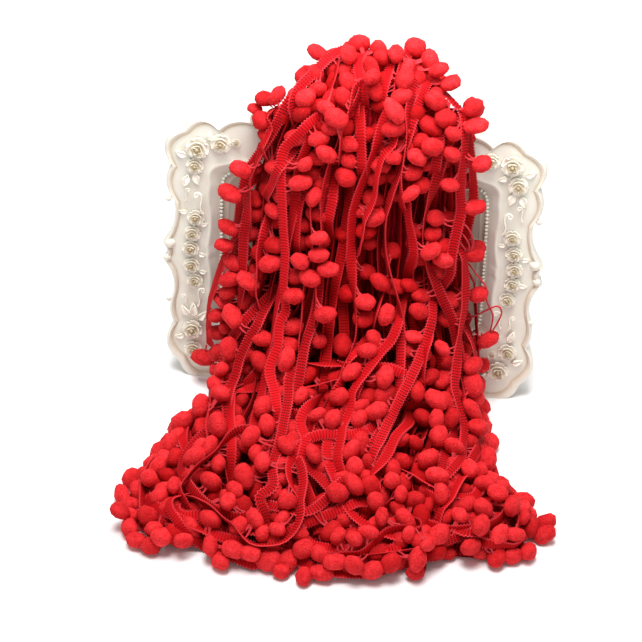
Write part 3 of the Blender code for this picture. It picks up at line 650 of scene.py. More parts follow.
# The turns that lie on top, as those above, but with how the face is turned at either end: 0 is ribs
# out, 1 the net out, and a half is edge on.
TOP_RUNS = (
    (-1, 9, (1, 0.6), ((1, -23), (-19, 0), (-28, 10), (-36, 20), (-40, 27), (-40, 30), (-40, 46))),
    (1, 9, (0, 0), ((-13, 25), (-28, 34), (-32, 38), (-37, 44), (-42, 52), (-42, 64), (-40, 82), (-38, 100),
        (-36, 117), (-36, 136), (-34, 148), (-37, 156), (-38, 171), (-42, 184), (-40, 195), (-32, 218),
        (-27, 233))),
    (-1, 7, (1, 1), ((-35, 43), (-38, 52), (-43, 63), (-48, 78), (-54, 88), (-58, 97))),
    (1, 9, (0.7, 0.4), ((14, 2), (2, 12), (-6, 18), (-8, 26), (-10, 33), (-12, 39), (-12, 46), (-12, 57),
        (-12, 69))),
    (-1, 5, (0, 0), ((-6, 19), (-4, 28), (-2, 38), (0, 52), (2, 70), (3, 80))),
    (1, 9, (1, 0.1), ((4, -20), (16, -3), (22, 6), (23, 20), (22, 27), (23, 36), (23, 50), (23, 64), (26, 80),
        (29, 88), (32, 98))),
    (-1, 9, (0.3, 0.4), ((21, 24), (18, 36), (17, 44), (12, 50), (10, 62), (10, 76), (6, 90), (6, 94),
        (5, 108), (4, 112), (0, 124))),
    (1, 9, (0.9, 1.2), ((36, -32), (38, -18), (42, 18), (50, 24), (52, 38), (53, 54), (54, 69), (56, 80),
        (56, 88), (54, 111), (54, 122), (53, 129), (50, 143))),
    (1, 8, (1, 1), ((42, 22), (41, 32), (40, 48), (40, 57), (41, 68), (42, 77))),
    (-1, 8, (0, 0.1), ((-50, 10), (-52, 24), (-54, 33), (-54, 40), (-54, 51), (-55, 64), (-56, 74))),
    (1, 3, (0, 0.1), ((-73, 70), (-68, 81), (-62, 98), (-64, 114), (-67, 128), (-70, 139))),
    (-1, 9, (1, 0), ((-49, 85), (-49, 99), (-49, 108), (-50, 118), (-50, 129), (-52, 144), (-54, 148),
        (-57, 160))),
    (-1, 9.5, (1, 0.7), ((-45, 138), (-54, 148), (-60, 156), (-67, 164), (-73, 171), (-78, 178), (-80, 201),
        (-70, 220), (-64, 238), (-60, 252))),
    (1, 9, (1, 0.9), ((-46, 136), (-49, 150), (-50, 158), (-55, 166), (-61, 178), (-64, 190), (-66, 201),
        (-62, 220), (-60, 236))),
    (-1, 6, (0, 0.2), ((-30, 63), (-31, 76), (-32, 94), (-31, 117), (-30, 131))),
    (1, 8, (0.5, 0.55), ((-26, 63), (-25, 76), (-24, 92), (-22, 110), (-24, 129), (-25, 146), (-26, 160),
        (-28, 174), (-30, 188))),
    (-1, 7, (0.1, 0.3), ((-16, 56), (-14, 68), (-13, 80), (-14, 93), (-14, 104), (-14, 114))),
    (1, 6, (0.4, 0.5), ((-15, 104), (-16, 114), (-18, 128), (-18, 146), (-20, 160), (-23, 172))),
    (1, 9, (0.2, 0.2), ((24, 54), (26, 66), (28, 74), (30, 88), (34, 105), (34, 120), (34, 132))),
    (-1, 9, (0.1, 0.9), ((16, 156), (8, 168), (2, 177), (-2, 190), (-7, 202), (-12, 216))),
    (-1, 9, (0.1, 0.3), ((33, 134), (29, 147), (24, 162), (18, 171), (11, 183), (5, 195), (4, 201), (6, 210),
        (6, 222), (8, 232), (8, 246), (10, 254), (12, 265))),
    (1, 9.5, (0.9, 1.1), ((50, 126), (47, 140), (44, 152), (40, 168), (34, 186), (30, 200), (29, 216),
        (29, 230), (26, 243), (23, 257))),
    (-1, 8, (0.5, 0.6), ((50, 142), (47, 152), (42, 166), (41, 182), (44, 190), (47, 200))),
    (1, 9, (1, 1), ((56, 91), (59, 106), (62, 122), (64, 138), (62, 153), (60, 172), (59, 188), (64, 202),
        (70, 213), (74, 226), (76, 238), (68, 248), (62, 248), (52, 248))),
    (1, 9, (1, 0.9), ((67, 136), (71, 152), (74, 162), (82, 174), (88, 192), (86, 207), (88, 225), (84, 243),
        (82, 257))),
    (-1, 8, (0.4, 0.5), ((23, 126), (20, 135), (16, 148), (14, 158), (12, 167))),
    (1, 9, (0.2, 0.3), ((-95, 176), (-91, 184), (-79, 208), (-70, 220), (-66, 238), (-63, 248))),
    (1, 9.5, (0.9, 1.1), ((-28, 169), (-30, 183), (-31, 195), (-28, 214), (-25, 236), (-30, 254), (-32, 266),
        (-40, 273), (-38, 280), (-36, 285), (-31, 292))),
    (-1, 10, (0.6, 0.3), ((-26, 225), (-40, 228), (-46, 230), (-52, 234), (-56, 240), (-62, 248), (-73, 258),
        (-82, 268), (-85, 273), (-82, 279), (-77, 290))),
    (-1, 10, (0.5, 0.9), ((-90, 268), (-78, 274), (-72, 278), (-66, 282), (-60, 288), (-54, 292), (-46, 298),
        (-37, 302), (-25, 300), (-22, 296), (-20, 290), (-18, 282), (-18, 274), (-14, 260), (-14, 249),
        (-18, 242), (-23, 229))),
    (-1, 10, (0.2, 0), ((-77, 264), (-84, 272), (-90, 279), (-90, 285), (-85, 291), (-79, 296), (-74, 297),
        (-65, 300))),
    (1, 8, (1, 0.6), ((-70, 182), (-68, 192), (-67, 204), (-64, 216), (-61, 228))),
    (-1, 9.5, (0.1, 0.3), ((41, 200), (40, 210), (38, 219), (36, 226), (34, 240), (23, 256), (14, 266),
        (6, 274))),
    (1, 10, (0.2, 0.6), ((44, 243), (40, 248), (34, 254), (28, 260), (28, 267), (28, 274), (28, 284))),
    (-1, 10, (0.4, 0.1), ((92, 243), (83, 248), (77, 250), (71, 258), (65, 268), (60, 273), (58, 278),
        (54, 282), (50, 289))),
    (1, 8, (0.5, 0.5), ((47, 247), (52, 254), (56, 261), (59, 268), (56, 274), (52, 282))),
    (-1, 10, (0.9, 1), ((59, 269), (64, 276), (66, 280), (72, 285), (80, 285), (88, 285), (92, 282),
        (100, 276))),
    (-1, 8, (0.5, 0.3), ((64, 290), (74, 290), (80, 290), (88, 291), (95, 294), (100, 291), (104, 285),
        (108, 280), (114, 275))),
    (1, 9, (0.4, 0.8), ((79, 263), (89, 266), (95, 267), (100, 272), (101, 276), (100, 280), (96, 285),
        (92, 292))),
    (1, 9.5, (0.5, 0.4), ((-7, 303), (5, 303), (11, 303), (20, 302), (24, 296), (29, 288), (38, 285),
        (46, 286), (48, 284), (47, 279), (42, 276), (34, 270))),
    (-1, 9, (0, 0.1), ((29, 278), (23, 284), (18, 288), (14, 292), (12, 297), (10, 305))),
    (1, 7, (0.2, 0.2), ((27, 303), (35, 303), (40, 303), (46, 302), (52, 303), (57, 304))),
    (1, 7, (0.1, 0.3), ((10, -44), (11, -20), (11, 0), (9, 16), (6, 38))),
    (-1, 6, (0.9, 0.6), ((17, -40), (18, -10), (16, 10), (14, 30), (12, 48))),
    (1, 6, (0, 0.2), ((-6, -36), (-5, -10), (-6, 6), (-3, 16), (0, 34))),
    (-1, 8, (0.3, 0.5), ((114, 247), (107, 250), (96, 255), (88, 264), (82, 270))),
)  # fmt: skip
HEAP_LOOPS = 26  # short curls strewn over the heap
LOOP_POINTS = (4, 8)
LOOP_STEP = 16.0
LOOP_LIFT = (1, 6)
HEAP_START = ((-100, 100), (190, 284))  # where their first points may lie, across and down
HEAP_HALF_WIDTH = 118
HEAP_FALL = (180, 298)
HEAP_RIGHT, HEAP_SLANT = 30, 0.4  # right of this, the heap's front draws back by so much for each mm
# Runs along the heap's rim, on the floor, and one that hangs free beside the fall: x, y, z.
FLOOR_RUNS = (
    (-1, ((-68, 44, 6), (-80, 24, 6), (-90, 4, 5), (-97, -16, 4), (-103, -38, 4), (-102, -58, 4),
        (-94, -68, 4))),
    (-1, ((-98, -62, 5), (-86, -66, 5), (-70, -67, 5), (-52, -79, 5), (-36, -83, 6), (-20, -77, 6))),
    (-1, ((-34, -77, 6), (-12, -77, 5), (6, -85, 5), (30, -85, 5), (44, -77, 6), (54, -64, 6))),
    (-1, ((42, -76, 6), (58, -73, 5), (72, -54, 5), (90, -48, 4), (106, -50, 4), (112, -40, 4), (104, -25, 5),
        (92, -16, 6))),
    (-1, ((88, -12, 6), (79, 4, 5), (75, 22, 6), (76, 42, 7), (76, 56, 8))),
    (-1, ((-76, 10, 12), (-84, -14, 12), (-88, -40, 12), (-84, -58, 12), (-64, -62, 12))),
    (-1, ((-44, -68, 13), (-14, -70, 12), (18, -75, 12), (44, -64, 13))),
    (-1, ((58, -56, 13), (78, -46, 12), (94, -38, 12), (88, -16, 12))),
)  # fmt: skip
HANGING_RUNS = (
    (1, ((-52, 86, 122), (-62, 82, 114), (-70, 74, 103), (-73, 71, 96), (-76, 70, 86), (-79, 70, 75),
        (-82, 70, 64), (-83, 72, 47), (-83, 73, 30))),
)  # fmt: skip
# Turns that hang down behind the frame, as the top ones, and the loops at their foot.
TAIL_RUNS = (
    (-1, 7, (0.1, 0.3), ((-27, -16), (-27, -50), (-25, -80), (-22, -106))),
    (1, 7, (0.9, 0.6), ((-9, -14), (-9, -50), (-8, -80), (-9, -106))),
    (-1, 8, (0, 0.2), ((6, -20), (7, -50), (7, -80), (5, -106))),
    (1, 7, (0.8, 1), ((23, -16), (23, -50), (22, -80), (20, -106))),
    (-1, 6, (0.4, 0.5), ((37, -20), (35, -52), (32, -82), (28, -106))),
)  # fmt: skip
TAIL_LOOPS = 12
TAIL_LOOP_SPREAD = 32
TAIL_LOOP_LIFT = (-4, 5)
TAIL_LOOP = ((0, -76), (0, -100), (3, -111), (6, -100), (6, -76))
INNER_RUNS = 32  # laid side by side right round the hank, under the outer ones
INNER_SHARE = 0.96  # of the hank's width that they take up
INNER_FALL = (-104, 288)
INNER_POINTS = 14
INNER_LIFT = (-9.0, -1.0)
INNER_WANDER = 2.5
INNER_TILTS = (0.3, 1.1, 1.5, -1.2)

# How far the hank reaches to either side and to the front. Its sides are told by rise, which grows by 1 mm
# for each mm up and by RISE_BACK for each mm back; its front edge on the floor by x.
RISE_BACK = 0.76
LEFT_EDGE = (
    (-63, -109), (-53, -107), (-44, -116), (-24, -119), (-13, -116), (-2, -112), (10, -106), (22, -98),
    (33, -97), (44, -89), (57, -89), (69, -92), (94, -89), (118, -85), (142, -79), (165, -76), (188, -75),
    (211, -70), (233, -58), (244, -54), (254, -62), (265, -54), (276, -40), (287, -30), (298, -26),
)  # fmt: skip
RIGHT_EDGE = (
    (-44, 115), (-33, 124), (-22, 129), (-13, 116), (-3, 108), (6, 93), (17, 94), (28, 92), (39, 95),
    (50, 87), (73, 84), (98, 87), (133, 88), (155, 76), (178, 74), (201, 77), (222, 78), (243, 73), (264, 71),
    (283, 58), (293, 52), (303, 46),
)  # fmt: skip
FRONT_EDGE = (
    (-106, -89), (-98, -86), (-90, -78), (-72, -82), (-63, -84), (-52, -95), (-43, -98), (-34, -97),
    (-18, -88), (-9, -90), (1, -99), (36, -99), (44, -90), (53, -91), (62, -87), (69, -68), (87, -64),
    (105, -66), (122, -56), (130, -37),
)  # fmt: skip
FRONT_SLOPE = 1.3  # how fast the heap's front draws back with height


def within_edges(points, radii):
    """The points, moved in where they would stand out past the hank's edges by more than their radius."""
    x, y, z = points.T
    rise = z + RISE_BACK * y
    left = np.interp(rise, *np.transpose(LEFT_EDGE)) + radii
    right = np.interp(rise, *np.transpose(RIGHT_EDGE)) - radii
    x = np.clip(x, left, right)
    front = np.interp(x, *np.transpose(FRONT_EDGE)) + radii - FRONT_SLOPE * np.maximum(z - radii, 0)
    return np.stack([x, np.maximum(y, front), z], axis=-1)


class Bulk:
    """The bulk's outside, read by distance across it and down it from the crest."""

    ACROSS = np.arange(-150, 151, 2.0)
    FALL = (-112, 306)  # from the tail's foot to the heap's toe
    COLUMNS = 61
    EDGE = 3.0  # how close to its edge it is read
    OUT_EDGE = 12.0  # and its outward way, which turns over at the edge
    OUT_SPAN = (4, 5)  # how far apart its outward way is worked out from, across and down

    def __init__(self):
        grid = bulk_rows(self.COLUMNS, 0, 0)
        middle = self.COLUMNS // 2
        self.fall = distances(grid[:, middle])
        self.fall -= self.fall[CREST_ROW * FINENESS]
        table, half = [], []
        for row in grid:
            across = distances(row)
            across -= across[middle]
            half.append(across[-1])
            held = np.clip(self.ACROSS, across[0] + self.EDGE, across[-1] - self.EDGE)
            table.append(read_at(held, across, row))
        self.table, self.half = np.array(table), np.array(half)

    def point(self, across, fall):
        i = np.interp(fall, self.fall, np.arange(len(self.fall)))
        j = np.interp(across, self.ACROSS, np.arange(len(self.ACROSS)))
        i0 = np.minimum(i.astype(int), len(self.fall) - 2)
        j0 = np.minimum(j.astype(int), len(self.ACROSS) - 2)
        s, t = (i - i0)[:, None], (j - j0)[:, None]
        low, high = (self.table[k, j0] * (1 - t) + self.table[k, j0 + 1] * t for k in (i0, i0 + 1))
        return low * (1 - s) + high * s

    def outs(self, across, fall):
        """Unit vectors out of the surface."""
        held = np.clip(across, self.OUT_EDGE - self.half_at(fall), self.half_at(fall) - self.OUT_EDGE)
        (aside, along), (first, last) = self.OUT_SPAN, self.FALL
        side = self.point(held + aside, fall) - self.point(held - aside, fall)
        down = self.point(held, np.minimum(fall + along, last)) - self.point(held, np.maximum(fall - along, first))
        return unit(np.cross(down, side))

    def half_at(self, fall):
        return np.interp(fall, self.fall, self.half)


def evenly(points, step):
    """Points spread evenly, about step apart, along a smooth curve through the given ones."""
    table = np.array(points, float)
    fine = np.array([catmull_rom(table, t) for t in np.linspace(0, len(table) - 1, 12 * len(table))])
    along = distances(fine)
    return read_at(np.linspace(0, along[-1], max(4, round(along[-1] / step) + 1)), along, fine)


def slow_noise(rng, count, reach):
    """Smooth random numbers from about -1 to 1, which change over reach steps."""
    knots = rng.uniform(-1, 1, count // reach + 4)
    return np.interp(np.arange(count) / reach, np.arange(len(knots)), knots)


def tree_of(points):
    tree = KDTree(len(points))
    for k, point in enumerate(points):
        tree.insert(point, k)
    tree.balance()
    return tree


OUTER_LIFT = 7.0  # above the bulk, where tapes lie in full light
SHADE_DEPTH = 12.0  # how much deeper they lie in full shade


class Strip:
    """A tape's centre line, with unit vectors across it and out of its face."""

    def __init__(self, points, outs, twist, lifts=None):
        self.lifts = np.full(len(points), OUTER_LIFT) if lifts is None else lifts
        along = unit(np.gradient(points, axis=0))
        sides = unit(np.cross(outs, along))
        outs = np.cross(along, sides)
        c, s = np.cos(twist)[:, None], np.sin(twist)[:, None]
        self.points = points
        self.ups = outs
        self.sides = sides * c + outs * s
        self.outs = outs * c - sides * s
        self.lengths = distances(points)

    def at(self, lengths):
        """The points, sides, outs and ups at some lengths."""
        parts = (self.points, self.sides, self.outs, self.ups)
        points, *ways = (read_at(lengths, self.lengths, part) for part in parts)
        return points, *(unit(way) for way in ways)

    def depths(self, lengths):
        """How deep the tape lies among the others, from 0 on the outside to 1 in the shade."""
        return np.clip((OUTER_LIFT - np.interp(lengths, self.lengths, self.lifts)) / SHADE_DEPTH, 0, 1)


LAY_STEP = 3.0
LAY_EDGE = 3.0  # how close to the bulk's edge a tape is laid
SINK = 15.0  # how far a run dives among the others at its ends
SINK_LENGTH = 24.0
CLEARANCE = 2.6  # between the middles of tapes that cross
LIFT_ROUNDS = 8
LIFT_STEP = 1.2
MOST_LIFT = 15.0
EDGE_ROOM = 8.0  # from the hank's edges, where pompoms hang, to a tape's middle
FLOOR_GAP = 1.0
FLOOR_WANDER = (4.5, 4.5, 2)
MOST_POINTS, TAIL_POINTS = 400, 60  # more than any run has, and any behind the frame


def kept_in(points, tilt):
    """The points, kept within the hank's edges, and off the floor however the tape is turned."""
    points = within_edges(points, EDGE_ROOM)
    points[:, 2] = np.maximum(points[:, 2], TAPE_WIDTH / 2 * abs(np.sin(tilt)) + FLOOR_GAP)
    return points


def lay_run(bulk, rng, path, lift, wave, tilt, sway, laid):
    """Lay a run on the bulk, lifted over those that are already there."""
    places = evenly(path, LAY_STEP)
    count = len(places)
    across = places[:, 0] + sway * slow_noise(rng, count, 9)
    across = np.clip(across, LAY_EDGE - bulk.half_at(places[:, 1]), bulk.half_at(places[:, 1]) - LAY_EDGE)
    fall = np.clip(places[:, 1], bulk.FALL[0] + 1, bulk.FALL[1] - 1)
    feet, outs = bulk.point(across, fall), bulk.outs(across, fall)
    lifts = lift + wave * slow_noise(rng, count, 7)
    tree = tree_of(np.concatenate([strip.points for strip, _ in laid])) if laid else None
    for _ in range(LIFT_ROUNDS if laid else 0):
        near = np.array([tree.find(point)[2] for point in feet + outs * lifts[:, None]])
        tight = near < CLEARANCE
        if not tight.any():
            break
        lifts[tight] += LIFT_STEP
        lifts = np.minimum(lifts, MOST_LIFT)
        for _ in range(2):
            lifts[1:-1] = np.maximum(lifts[1:-1], (lifts[:-2] + lifts[2:]) / 2)
    smooth = np.convolve(np.pad(lifts, 2, mode="edge"), np.ones(5) / 5, mode="valid")
    to_end = np.minimum(np.arange(count), np.arange(count)[::-1]) * LAY_STEP / SINK_LENGTH
    ease = np.clip(to_end, 0, 1)
    smooth -= SINK * (1 - ease**2 * (3 - 2 * ease)) if laid else 0
    points = kept_in(feet + outs * smooth[:, None], tilt[:count])
    return Strip(points, outs, tilt[:count], smooth)


bulk = Bulk()
rng = np.random.default_rng(11)
tail_rng = np.random.default_rng(3)
inner_runs, outer_runs = [], []  # pairs of a strip and the side its pompoms are on
for k in range(INNER_RUNS):
    share = -INNER_SHARE + 2 * INNER_SHARE * (k + 0.5) / INNER_RUNS
    falls = np.linspace(*INNER_FALL, INNER_POINTS)
    wander = rng.uniform(-INNER_WANDER, INNER_WANDER, len(falls))
    path = np.stack([share * bulk.half_at(falls) + wander, falls], axis=-1)
    tilt = rng.choice(INNER_TILTS) + 0.5 * slow_noise(rng, MOST_POINTS, 12)
    strip = lay_run(bulk, rng, path, rng.uniform(*INNER_LIFT), wave=0.8, tilt=tilt, sway=1.5, laid=[])
    inner_runs.append((strip, rng.choice([-1, 1])))
for side, lift, path in MAIN_RUNS:
    tilt = rng.choice([0, math.pi]) + rng.uniform(-0.5, 0.5) + 1.4 * slow_noise(rng, MOST_POINTS, 10)
    strip = lay_run(bulk, rng, path, lift, wave=1.0, tilt=tilt, sway=1.5, laid=outer_runs or inner_runs)
    outer_runs.append((strip, side))
for _ in range(HEAP_LOOPS):
    across, fall = (rng.uniform(*limits) for limits in HEAP_START)
    heading = rng.uniform(0, 2 * math.pi)
    path = [(across, fall)]
    for _ in range(rng.integers(*LOOP_POINTS)):
        heading += rng.uniform(-1.0, 1.0)
        across = np.clip(across + LOOP_STEP * math.cos(heading), -HEAP_HALF_WIDTH, HEAP_HALF_WIDTH)
        last = HEAP_FALL[1] - max(0, across - HEAP_RIGHT) * HEAP_SLANT
        fall = np.clip(fall + LOOP_STEP * math.sin(heading), HEAP_FALL[0], last)
        path.append((across, fall))
    tilt = rng.uniform(-1.5, 1.5) + 1.0 * slow_noise(rng, MOST_POINTS, 8)
    strip = lay_run(bulk, rng, path, rng.uniform(*LOOP_LIFT), wave=2.0, tilt=tilt, sway=1.0, laid=outer_runs)
    outer_runs.append((strip, rng.choice([-1, 1])))
for draws, quiver, least_drawn, runs in ((rng, 0.5, 0, TOP_RUNS), (tail_rng, 0.3, TAIL_POINTS, TAIL_RUNS)):
    for side, lift, (first, last), path in runs:
        steps = len(evenly(path, LAY_STEP))
        tilt = quiver * slow_noise(draws, max(steps, least_drawn), 7)[:steps]
        tilt = math.pi * np.linspace(first, last, steps) + tilt
        strip = lay_run(bulk, draws, path, lift, wave=0.5, tilt=tilt, sway=0.5, laid=outer_runs)
        outer_runs.append((strip, side))
for k in range(TAIL_LOOPS):
    across = -TAIL_LOOP_SPREAD + 2 * TAIL_LOOP_SPREAD * k / TAIL_LOOPS + tail_rng.uniform(-1, 1)
    path = [(across + aside, fall) for aside, fall in TAIL_LOOP]
    tilt = math.pi / 2 + 0.4 * slow_noise(tail_rng, TAIL_POINTS, 6)
    lift = tail_rng.uniform(*TAIL_LOOP_LIFT)
    strip = lay_run(bulk, tail_rng, path, lift, wave=0.5, tilt=tilt, sway=0.3, laid=inner_runs[:1])
    outer_runs.append((strip, tail_rng.choice([-1, 1])))
floor_runs_start = len(outer_runs)
for side, path in FLOOR_RUNS:
    points = evenly(path, LAY_STEP)
    points += np.stack([slow_noise(rng, len(points), 7) for _ in range(3)], axis=-1) * FLOOR_WANDER
    tilt = -0.5 * side + 0.7 * slow_noise(rng, len(points), 8)
    outer_runs.append((Strip(kept_in(points, tilt), np.tile([0.0, 0.0, 1.0], (len(points), 1)), tilt), side))
for side, path in HANGING_RUNS:
    points = evenly(path, LAY_STEP)
    tilt = 0.9 + 0.5 * slow_noise(rng, len(points), 6)
    outer_runs.append((Strip(points, np.tile([0.0, -1.0, 0.1], (len(points), 1)), tilt), side))

# The UV map gives the width and the length in millimetres. The netted face starts at BACK_FACE, and each
# pair is the width at the two corners of one side of the tape's six-sided section.
BACK_FACE = 10.0
SIDE_WIDTHS = (
    (0, TAPE_LIP),
    (TAPE_LIP, TAPE_WIDTH - TAPE_LIP),
    (TAPE_WIDTH - TAPE_LIP, TAPE_WIDTH),
    (BACK_FACE + TAPE_WIDTH, BACK_FACE + TAPE_WIDTH - TAPE_LIP),
    (BACK_FACE + TAPE_WIDTH - TAPE_LIP, BACK_FACE + TAPE_LIP),
    (BACK_FACE, BACK_FACE),
)
LEAST_HEIGHT = 0.3  # of yarn above the floor
tone_rng = np.random.default_rng(5)


def tape_piece(name, runs, step, picots, material):
    """All the runs as one mesh of thin closed bands."""
    around = len(SIDE_WIDTHS)
    corners, faces, uvs, depths, tones = [], [], [], [], []
    for strip, _ in runs:
        rows = max(3, round(strip.lengths[-1] / step))
        lengths = np.linspace(0, strip.lengths[-1], rows)
        points, sides, outs, _ = strip.at(lengths)
        half = TAPE_WIDTH / 2 + picots * np.where(np.arange(rows) % 2, 1, -1)
        lean, thick = half - TAPE_LIP, TAPE_THICKNESS / 2
        section = [(-half, 0), (-lean, thick), (lean, thick), (half, 0), (lean, -thick), (-lean, -thick)]
        ring = np.stack([points + sides * np.reshape(a, (-1, 1)) + outs * b for a, b in section], axis=1)
        ring[..., 2] = np.maximum(ring[..., 2], LEAST_HEIGHT)
        base = len(corners)
        for row in range(rows - 1):
            here, ahead = lengths[row : row + 2]
            for i, (first, second) in enumerate(SIDE_WIDTHS):
                at, j = base + row * around, (i + 1) % around
                faces.append((at + i, at + j, at + around + j, at + around + i))
                uvs += [(first, here), (second, here), (second, ahead), (first, ahead)]
        faces.append(tuple(base + i for i in range(around))[::-1])
        faces.append(tuple(base + (rows - 1) * around + i for i in range(around)))
        uvs += [(TAPE_WIDTH / 2, 0)] * 2 * around
        corners.extend(ring.reshape(-1, 3))
        depths.extend(np.repeat(strip.depths(lengths), around))
        tones.extend([tone_rng.random()] * rows * around)
    piece = mesh_piece(name, np.array(corners) * MM, faces)
    piece.data.uv_layers.new(name="weave").data.foreach_set("uv", np.array(uvs, np.float32).ravel())
    # Each corner's depth among the turns drives painted shade in the tape's colour.
    add_values(piece, "depth", depths)
    add_values(piece, "tone", tones)
    close_and_smooth(piece, 50, seams=False)
    piece.data.materials.append(material)
    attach(piece, "root")
    return piece


MULTIPLY = MIX | {"blend_type": "MULTIPLY"}


def painted_shade_by_depth(material, colour, shade):
    """The colour, darkened by the piece's depth as painted shade, where little white light gets in between the
    turns.
    """
    depth = add_node(material, "Attribute", {"attribute_name": "depth"}, {}, "Fac")
    return add_node(material, "Mix", MULTIPLY, {0: depth, 6: colour, 7: linear(shade)}, MIXED)


# Woven polyester tape: matt, bright red on the ribs, with painted shade in the soft grooves between them and in the
# holes of the net, a painted highlight on the edge's loops, and painted shade where a run lies deep among the
# others.
TAPE_RED = "#B0040C"
TAPE_LIGHT = "#CC101A"
TAPE_GROOVE_SHADE = "#96030A"
TAPE_EDGE_HIGHLIGHT = "#DA3840"
TAPE_HOLE_SHADE = "#3A0308"
# Painted shade, multiplied in where a run lies deep among the others.
TAPE_SHADE = "#D05A66"
YARN_SHEEN = linear("#FF3A3A")
LOOPS_FROM, LOOPS_TO = 2.2, 2.7  # from the tape's middle, where the painted highlight on the edge's loops begins and is full
woven, shader = new_material(
    "polyester braid, ribbed and netted",
    TAPE_RED,
    0.8,
    {"Specular IOR Level": 0.12, "Sheen Weight": 0.05, "Sheen Tint": YARN_SHEEN},
)
weave = add_node(woven, "UVMap", {"uv_map": "weave"}, {})
width, length, _ = add_node(woven, "SeparateXYZ", {}, {"Vector": weave}).node.outputs
ribs = add_node(woven, "Math", {"operation": "MULTIPLY"}, {0: length, 1: 2 * math.pi / PICOT_PITCH})
ribs = add_node(woven, "Math", {"operation": "SINE"}, {0: ribs})
wefts = add_node(woven, "MapRange", {}, {"Value": ribs, "From Min": -0.45, "From Max": 0.45})
ribs = add_node(woven, "MapRange", {}, {"Value": ribs, "From Min": -1.0, "From Max": 0.4})
warps = add_node(woven, "Math", {"operation": "SUBTRACT"}, {0: width, 1: BACK_FACE + TAPE_LIP})
warps = add_node(woven, "Math", {"operation": "MULTIPLY"}, {0: warps, 1: 2 * math.pi / COLUMN_PITCH})
warps = add_node(woven, "Math", {"operation": "COSINE"}, {0: warps})
warps = add_node(woven, "MapRange", {}, {"Value": warps, "From Min": -0.15, "From Max": 0.7})
net = add_node(woven, "Math", {"operation": "MAXIMUM"}, {0: wefts, 1: warps})
is_back = add_node(woven, "Math", {"operation": "GREATER_THAN"}, {0: width, 1: (TAPE_WIDTH + BACK_FACE) / 2})
height = add_node(woven, "Mix", {"data_type": "FLOAT"}, {0: is_back, 2: ribs, 3: net})
# The low colour is painted shade: in the rib grooves on the ribbed face, and in the holes on the netted one.
low = add_node(woven, "Mix", MIX, {0: is_back, 6: linear(TAPE_GROOVE_SHADE), 7: linear(TAPE_HOLE_SHADE)}, MIXED)
batch = add_node(woven, "Attribute", {"attribute_name": "tone"}, {}, "Fac")
high = add_node(woven, "Mix", MIX, {0: batch, 6: linear(TAPE_RED), 7: linear(TAPE_LIGHT)}, MIXED)
tone = add_node(woven, "Mix", MIX, {0: height, 6: low, 7: high}, MIXED)
# A painted highlight along both edges of the tape, where the loops catch the light.
from_middle = add_node(woven, "Math", {"operation": "MODULO"}, {0: width, 1: BACK_FACE})
from_middle = add_node(woven, "Math", {"operation": "SUBTRACT"}, {0: from_middle, 1: TAPE_WIDTH / 2})
from_middle = add_node(woven, "Math", {"operation": "ABSOLUTE"}, {0: from_middle})
near_edge = {"Value": from_middle, "From Min": LOOPS_FROM, "From Max": LOOPS_TO, "To Max": 0.8}
loops = add_node(woven, "MapRange", {}, near_edge)
tone = add_node(woven, "Mix", MIX, {0: loops, 6: tone, 7: linear(TAPE_EDGE_HIGHLIGHT)}, MIXED)
bump = add_node(woven, "Bump", {}, {"Height": height, "Strength": 0.4, "Distance": 0.3 * MM})
link(shader, {"Base Color": painted_shade_by_depth(woven, tone, TAPE_SHADE), "Normal": bump})

tape_piece("tape_inner_runs", inner_runs, INNER_STEP, 0, woven)
outer_tape = tape_piece("tape_outer_runs", outer_runs, PICOT_PITCH / 2, PICOT, woven)
trim_nodes = sorted(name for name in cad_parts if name.startswith("trim_run"))
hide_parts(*trim_nodes)


# ---- The pompoms: balls of sheared polyester yarn, about 12 mm across, wider than high and never quite
# round. Each hangs from the tape's edge by two short threads, every 15 mm, and lies where its neighbours
# let it.

POMPOM_PITCH = 15.5
PITCH_ERROR = 2.4
FIRST_POMPOM = (3, 12)  # from the tape's end
LEAN_ALONG = 0.8  # how far a pompom may lean along its tape, in its reach from the edge
LEAN_OUT = (-0.5, 0.4)
LEAN_UNDER = -1.4  # of those that lie behind their tape
LEAN_DOWN = 0.45
POMPOM_RADIUS = (4.5, 6.2)
THREAD_LENGTH = (1.0, 6.5)
MOST_THREAD = 7.5
TUCKED = 0.42  # the share that lie behind their tape
TUCKED_ON_FLOOR = 0.08
TUCKED_IN_HEAP = 0.15
HEAP_TOP = 45.0
TUCKED_DEPTH = 5.5
MOST_PROUD = 1.5  # of a pompom's middle above its tape's edge
FALL_TOP = 165.0
# The lowest z at which runs have fewer pompoms that show, and the shares kept there and elsewhere.
OUTER_KEPT = (50, 0.7, 1)
INNER_KEPT = (40, 0.14, 0.4)
